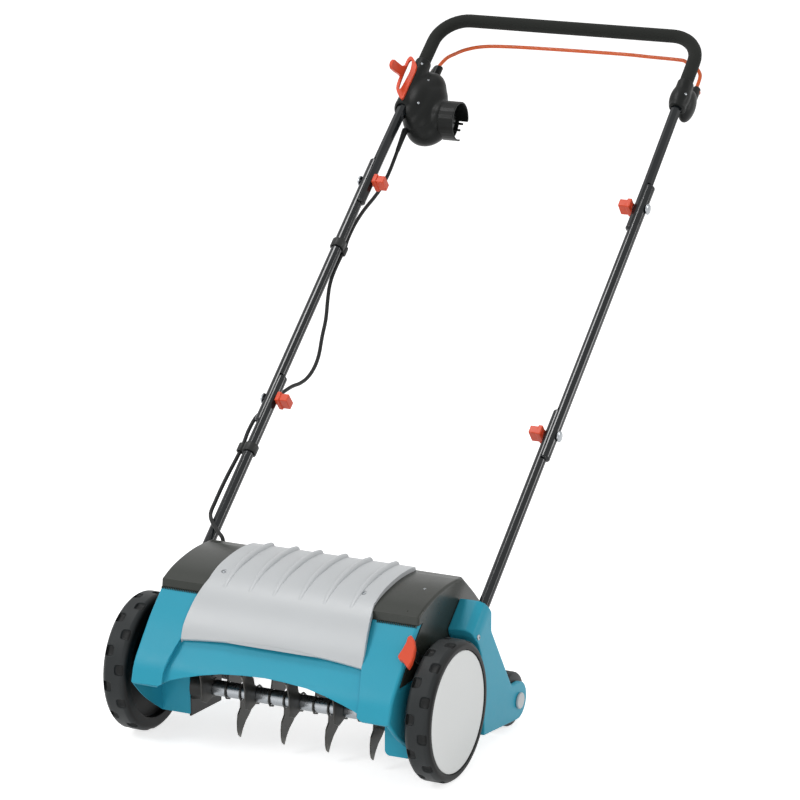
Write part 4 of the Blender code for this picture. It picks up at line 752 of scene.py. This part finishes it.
# Drive, inside: bearings, belt, pulley and motor, hidden by the cover and the tunnel. They keep their
# packed forms and get their finishes.
belt_rubber = rubber_finish("belt_rubber_ribbed", (30, 30, 30), 0.75, 500.0)
motor_steel = steel_finish("motor_can_steel", (122, 120, 118), 0.45, (40.0, 40.0, 600.0))
for node, material in (("shaft_bearing_left", bright_steel), ("shaft_bearing_right", bright_steel),
                       ("motor_can", motor_steel), ("motor_rotor", motor_steel), ("drive_belt", belt_rubber),
                       ("shaft_pulley", black_plastic)):
    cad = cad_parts[node]
    cad.data.materials.clear()
    cad.data.materials.append(material)

# Handle tubes: 17 mm steel tube in gloss black enamel, halved where the sections lap at the folds.
# Each free end in a lap is closed by a half dome.
enamel, nodes, sockets = new_finish("black_tube_enamel", Coat_Weight=0.10, Coat_Roughness=0.05,
                                    Specular_IOR_Level=0.30)
where = nodes.place()
drift, peel = nodes.noise(where, 12.0, 3.0), nodes.noise(where, 420.0)
nodes.feed(sockets["Base Color"], nodes.between(drift, screen(16, 18, 20), screen(26, 30, 33)))
nodes.feed(sockets["Roughness"], drift * 0.08 + 0.10)
nodes.feed(sockets["Normal"], nodes.bump(peel, 0.06))
MIDDLE_X, LEG_X, TUBE_R, LAP, LAP_GAP = 0.2322, 0.2275, 0.0085, 0.0400, 0.0002


def dome(pipe, side, x, s):
    """Closes the free end of a lapping tube with a half dome, and joins it to the tube."""
    alone()
    bpy.ops.mesh.primitive_uv_sphere_add(segments=32, ring_count=16, radius=TUBE_R, scale=(1.0, 0.52, 1.0),
                                         rotation=(SLOPE, 0.0, 0.0), location=on_handle(side * x, s))
    bpy.ops.object.transform_apply(location=True, rotation=True, scale=True)
    bpy.ops.object.mode_set(mode="EDIT")
    bpy.ops.mesh.select_all(action="SELECT")
    inner = x == LEG_X
    cut_x = (LEG_X + MIDDLE_X) / 2 + (-LAP_GAP if inner else LAP_GAP)
    bpy.ops.mesh.bisect(plane_co=(side * cut_x, 0.0, 0.0), plane_no=(side, 0.0, 0.0), use_fill=True,
                        clear_outer=inner, clear_inner=not inner)
    bpy.ops.object.mode_set(mode="OBJECT")
    pipe.select_set(True)
    bpy.context.view_layer.objects.active = pipe
    bpy.ops.object.join()


LOWER_ENDS = ((LEG_X, LAP),)
MIDDLE_ENDS = ((MIDDLE_X, -LAP), (MIDDLE_X, MIDDLE_LENGTH + LAP))
UPPER_ENDS = ((LEG_X, MIDDLE_LENGTH - LAP),)
for name, node, body, sides, ends in (
        ("tube_lower_left", "lower_tube_left", "deck", (-1,), LOWER_ENDS),
        ("tube_lower_right", "lower_tube_right", "deck", (1,), LOWER_ENDS),
        ("tube_middle_left", "middle_tube_left", "mid_frame", (-1,), MIDDLE_ENDS),
        ("tube_middle_right", "middle_tube_right", "mid_frame", (1,), MIDDLE_ENDS),
        ("tube_upper", "upper_handle", "upper_frame", (-1, 1), UPPER_ENDS)):
    pipe = from_packed(name, node)
    for side in sides:
        for x, s in ends:
            dome(pipe, side, x, s)
    finished(pipe, enamel, "black_enamel", body, node)

# Fold bolts and wing nuts: domed bright heads outboard, moulded orange knobs inboard with a thumb
# finger each. A bolt goes through both lapping tubes, and its knob clamps them.
KNOB_BLOCKS = ((-0.0030, 0.0120, 0.0064, 0.0112), (0.0095, 0.0165, 0.0080, 0.0128))
HUB_START, HUB_BORE = 0.0150, 0.0032


def wing_knob(name, node, side, start):
    """An orange wing knob: a hub, a thick finger at its free end and a broader step next to the tube."""
    reach = [abs(v.co.x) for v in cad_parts[node].data.vertices]
    free, seat = min(reach), max(reach)
    axle = on_handle(0.0, start)
    steps = ((free + HUB_START, HUB_BORE), (free + HUB_START, 0.0068), (seat - 0.0006, 0.0072),
             (seat, 0.0066), (seat, HUB_BORE), (free + HUB_START, HUB_BORE))
    hub = turned(name, steps, 40, (axle.y, axle.z), side)
    parts = [hub]
    for low, high, half_s, half_h in KNOB_BLOCKS:
        alone()
        x = side * (free + (low + high) / 2)
        bpy.ops.mesh.primitive_cube_add(size=1.0, location=on_handle(x, 0.0, 0.0, start),
                                        rotation=(SLOPE, 0.0, 0.0),
                                        scale=(high - low, 2 * half_s, 2 * half_h))
        block = bpy.context.active_object
        bpy.ops.object.transform_apply(location=True, rotation=True, scale=True)
        parts.append(softened(block, 0.0013, 3))
    alone(hub)
    for part in parts:
        part.select_set(True)
    bpy.ops.object.join()
    return hub


face = MIDDLE_X + TUBE_R + 0.0003
BOLT_STEPS = ((0.1997, 0.0026), (0.2003, 0.0030), (face - 0.0002, 0.0030), (face, 0.0078),
              (face + 0.0008, 0.0085), (face + 0.0022, 0.0084), (face + 0.0036, 0.0068),
              (face + 0.0043, 0.0040), (face + 0.0045, 0.0008))
for side, name in SIDES:
    for level, start, body in (("lower", 0.0, "mid_frame"), ("upper", MIDDLE_LENGTH, "upper_frame")):
        axle = on_handle(0.0, start)
        bolt = turned("bolt_%s_%s" % (level, name), BOLT_STEPS, 40, (axle.y, axle.z), side)
        finished(bolt, bright_steel, "bright_steel", body, "fold_bolt_%s_%s" % (level, name))
        packed_nut = "wing_nut_%s_%s" % (level, name)
        nut = wing_knob("wing_knob_%s_%s" % (level, name), packed_nut, side, start)
        even_faces(finished(nut, orange_plastic, "orange_plastic", packed_nut, packed_nut))

# Foam grip: a soft closed-cell sleeve pushed over the upper handle's bar and both its bends, with its
# ends on the legs.
foam_skin, nodes, sockets = new_finish("foam_skin", Specular_IOR_Level=0.2, Sheen_Weight=0.04)
where = nodes.place()
cells = nodes.node("ShaderNodeTexVoronoi", None, {"Vector": where, "Scale": 1100.0})
drift = nodes.noise(where, 30.0, 4.0)
nodes.feed(sockets["Base Color"],
           nodes.between(drift * 0.6 + cells * 0.4, screen(28, 30, 28), screen(42, 44, 41)))
nodes.feed(sockets["Roughness"], drift * 0.08 + 0.84)
nodes.feed(sockets["Normal"], nodes.bump(cells, 0.35, 0.0003))
FOAM_R, FOAM_END, BAR_S, BEND_R, GRIP_X, STRAIGHT_S = 0.0107, 0.0930, 0.3450, 0.0500, 0.2240, 0.0450


def leg_x(s):
    """Half the distance between the upper legs, which lean in above the lap."""
    return LEG_X + (GRIP_X - LEG_X) * (s - STRAIGHT_S) / (BAR_S - BEND_R - STRAIGHT_S)


def grip_line():
    """The grip's centre line from the left leg round both bends to the right one."""
    low, top, half_bar = BAR_S - FOAM_END, BAR_S - BEND_R, GRIP_X - BEND_R
    leg = [(leg_x(s), s) for s in (low + (top - low) * k / 4 for k in range(4))]
    bend = [(half_bar + BEND_R * cos(radians(a)), top + BEND_R * sin(radians(a))) for a in range(0, 91, 9)]
    bar = [(-half_bar + 2 * half_bar * k / 16, BAR_S) for k in range(1, 16)]
    left = [(-u, v) for u, v in (*leg, *bend)]
    return [on_handle(u, v, 0.0, MIDDLE_LENGTH) for u, v in (*left, *bar, *reversed([*leg, *bend]))]


foam = round_bar("foam_sleeve", grip_line(), FOAM_R, 6)
softened(foam, 0.0014, 3, 60.0)
finished(foam, foam_skin, "foam", "upper_frame", "foam_grip")


# Switch box: two black moulded shells with all-round soft edges, screwed together round the left leg.
# It holds the switch, the power inlet and the start button.
def melted(name, balls, bars, voxel, rounds):
    """Balls and round bars in the upper handle's frame, melted into one soft-edged body."""
    lumps = []
    for place, size in balls:
        alone()
        bpy.ops.mesh.primitive_uv_sphere_add(segments=40, ring_count=24, radius=1.0, scale=size,
                                             rotation=(SLOPE, 0.0, 0.0),
                                             location=on_handle(*place, MIDDLE_LENGTH))
        lumps.append(bpy.context.active_object)
    for low, high, low_r, high_r in bars:
        low, high = on_handle(*low, MIDDLE_LENGTH), on_handle(*high, MIDDLE_LENGTH)
        alone()
        bpy.ops.mesh.primitive_cone_add(vertices=40, radius1=low_r, radius2=high_r, depth=(high - low).length,
                                        location=(low + high) / 2,
                                        rotation=(high - low).to_track_quat("Z", "Y").to_euler())
        lumps.append(bpy.context.active_object)
    alone(lumps[0])
    for lump in lumps:
        lump.select_set(True)
    bpy.ops.object.join()
    made = bpy.context.active_object
    made.name = name
    bpy.ops.object.transform_apply(location=True, rotation=True, scale=True)
    return evened(made, voxel, rounds)


def bored(piece, x, low, high, radius):
    """A round recess along a leg, where its tube goes in."""
    alone()
    low, high = on_handle(x, low, 0.0, MIDDLE_LENGTH), on_handle(x, high, 0.0, MIDDLE_LENGTH)
    bpy.ops.mesh.primitive_cylinder_add(vertices=48, radius=radius, depth=(high - low).length,
                                        location=(low + high) / 2,
                                        rotation=(high - low).to_track_quat("Z", "Y").to_euler())
    cut_away(piece, bpy.context.active_object)
    return piece


def surface_over(piece, x, s):
    """The highest point of a body over a place on the handle, and the way it faces."""
    start, toward = on_handle(x, s, 0.08, MIDDLE_LENGTH), Vector((0.0, sin(SLOPE), -cos(SLOPE)))
    return piece.ray_cast(start, toward)[1:3]


box_plastic = moulded_finish("box_moulding", (18, 20, 19), 0.40, shine=0.18)
BOX_SEAM = -0.0152
BOX_BALLS = (((-.1925, .157, -.037), (.037, .043, .027)), ((-.2080, .197, -.024), (.031, .050, .027)),
             ((-.2283, .161, -.007), (.0155, .020, .017)), ((-.2140, .181, -.010), (.026, .044, .021)),
             ((-.1720, .166, -.034), (.020, .031, .029)), ((-.2030, .178, -.026), (.034, .056, .030)))
BOX_BARS = (((-.2262, .1560, .0), (-.2245, .2517, .0), .0134, .0134),
            ((-.2160, .2200, -.028), (-.2225, .2790, -.045), .0130, .0075))
BOX_SCREWS = ((-.2194, .2377), (-.2027, .2143), (-.2000, .1628))
box_body = melted("box_body", BOX_BALLS, BOX_BARS, 0.0012, 60)
for name, node, gap, upper in (("box_top_shell", "switch_box_top", 0.0001, True),
                               ("box_base_shell", "switch_box_base", -0.0001, False)):
    half = copied(name, box_body)
    bpy.ops.object.mode_set(mode="EDIT")
    bpy.ops.mesh.select_all(action="SELECT")
    bpy.ops.mesh.bisect(plane_co=on_handle(0.0, 0.0, BOX_SEAM + gap, MIDDLE_LENGTH), use_fill=True,
                        plane_no=(0.0, -sin(SLOPE), cos(SLOPE)), clear_inner=upper, clear_outer=not upper)
    bpy.ops.object.mode_set(mode="OBJECT")
    bored(half, -0.2265, 0.1200, 0.1570, 0.0100)
    finished(half, box_plastic, "black_plastic", "upper_frame", node, smooth=50.0)
for number, (x, s) in enumerate(BOX_SCREWS, 1):
    place, facing = surface_over(box_body, x, s)
    screw("box_screw_%d" % number, place + facing * 0.0002, facing, "upper_frame", 0.75)
bpy.data.objects.remove(box_body)

# Bracket: a smaller black shell round the right leg that holds the bail's other foot, with one screw.
# The inlet's collar and the start button are mouldings of the same plastic.
BRACKET_BALLS = (((.2245, .221, .0), (.0160, .030, .0142)), ((.2310, .224, -.022), (.0120, .030, .018)))
BRACKET_BARS = (((.2262, .1990, .0), (.2248, .2517, .0), .0134, .0132),
                ((.2275, .2300, -.034), (.2240, .2790, -.045), .0085, .0070))
bracket = melted("bracket_shell", BRACKET_BALLS, BRACKET_BARS, 0.0011, 26)
bored(bracket, 0.2260, 0.1600, 0.2000, 0.0098)
place, facing = surface_over(bracket, 0.2360, 0.2220)
screw("bracket_screw", place + facing * 0.0002, facing, "upper_frame", 0.75)
finished(bracket, box_plastic, "black_plastic", "upper_frame", "bail_bracket", smooth=50.0)
inlet = softly_moulded("inlet_collar", "power_inlet", 0.0007, 4)
finished(inlet, box_plastic, "black_plastic", "upper_frame", "power_inlet", smooth=60.0)
button = softened(from_packed("start_key", "start_button"), 0.0008, 3, 40.0)
finished(button, box_plastic, "black_plastic", "start_button", "start_button")

# Strain relief: a smooth black taper, moulded round the lead where it leaves the box, that keeps it
# from kinking.
RELIEF_R, RELIEF_TAPER = 0.0052, 0.055
relief_line = upper_line[3:10]
relief_swell = [1.0 - RELIEF_TAPER * k for k in range(len(relief_line))]
relief = round_bar("lead_taper", relief_line, RELIEF_R, 5, relief_swell)
finished(relief, lead_rubber, "black_plastic", "upper_frame")

# Cord hook: a flat orange loop on the box's top that keeps the extension cord's plug from pulling,
# with a finger rising from its outer rim.
hook = softly_moulded("cord_loop", "cord_hook", 0.0006, 6)
finished(hook, orange_plastic, "orange_plastic", "upper_frame", "cord_hook", smooth=60.0)

# Bail: the orange switch bar, one bent 6 mm rod with a plastic coat. Its feet turn in the box and in
# the bracket.
bail_coat = moulded_finish("bail_coat", (222, 96, 34), 0.26, 0.06, shine=0.45)
BAIL_R, BAIL_AT = 0.0030, (0.2720, -0.0450)
BAIL_FOOT = ((0.2315, 0.0), (0.2275, 0.0), (0.2237, 0.0018), (0.2225, 0.0065))
BAIL_LINE = ((-.2218, .0137), (-.2151, .0295), (-.2043, .0392), (-.1900, .0493), (-.1665, .0580),
             (-.1325, .0624), (-.0629, .0647), (.0752, .0662), (.1269, .0649), (.1782, .0635),
             (.1893, .0604), (.2040, .0540), (.2155, .0440), (.2215, .0330), (.2228, .0156))
bends = [*((-u, v) for u, v in BAIL_FOOT), *BAIL_LINE, *reversed(BAIL_FOOT)]
bail_line = flowing([on_handle(u, BAIL_AT[0] + v, BAIL_AT[1], MIDDLE_LENGTH) for u, v in bends], 4)
finished(round_bar("bail_bar", bail_line, BAIL_R, 4), bail_coat, "orange_coating", "bail", "bail")

# Lead clips: black plastic bands that snap round the tube and hold the lead beside it, one on the
# middle tube and one on the lower one.
for name, node, body in (("clip_middle", "lead_clip_middle", "mid_frame"),
                         ("clip_lower", "lead_clip_lower", "deck")):
    clip = softened(from_packed(name, node), 0.0006, 2, 40.0)
    finished(clip, black_plastic, "black_plastic", body, node)

bpy.data.objects.remove(pattern_screw)
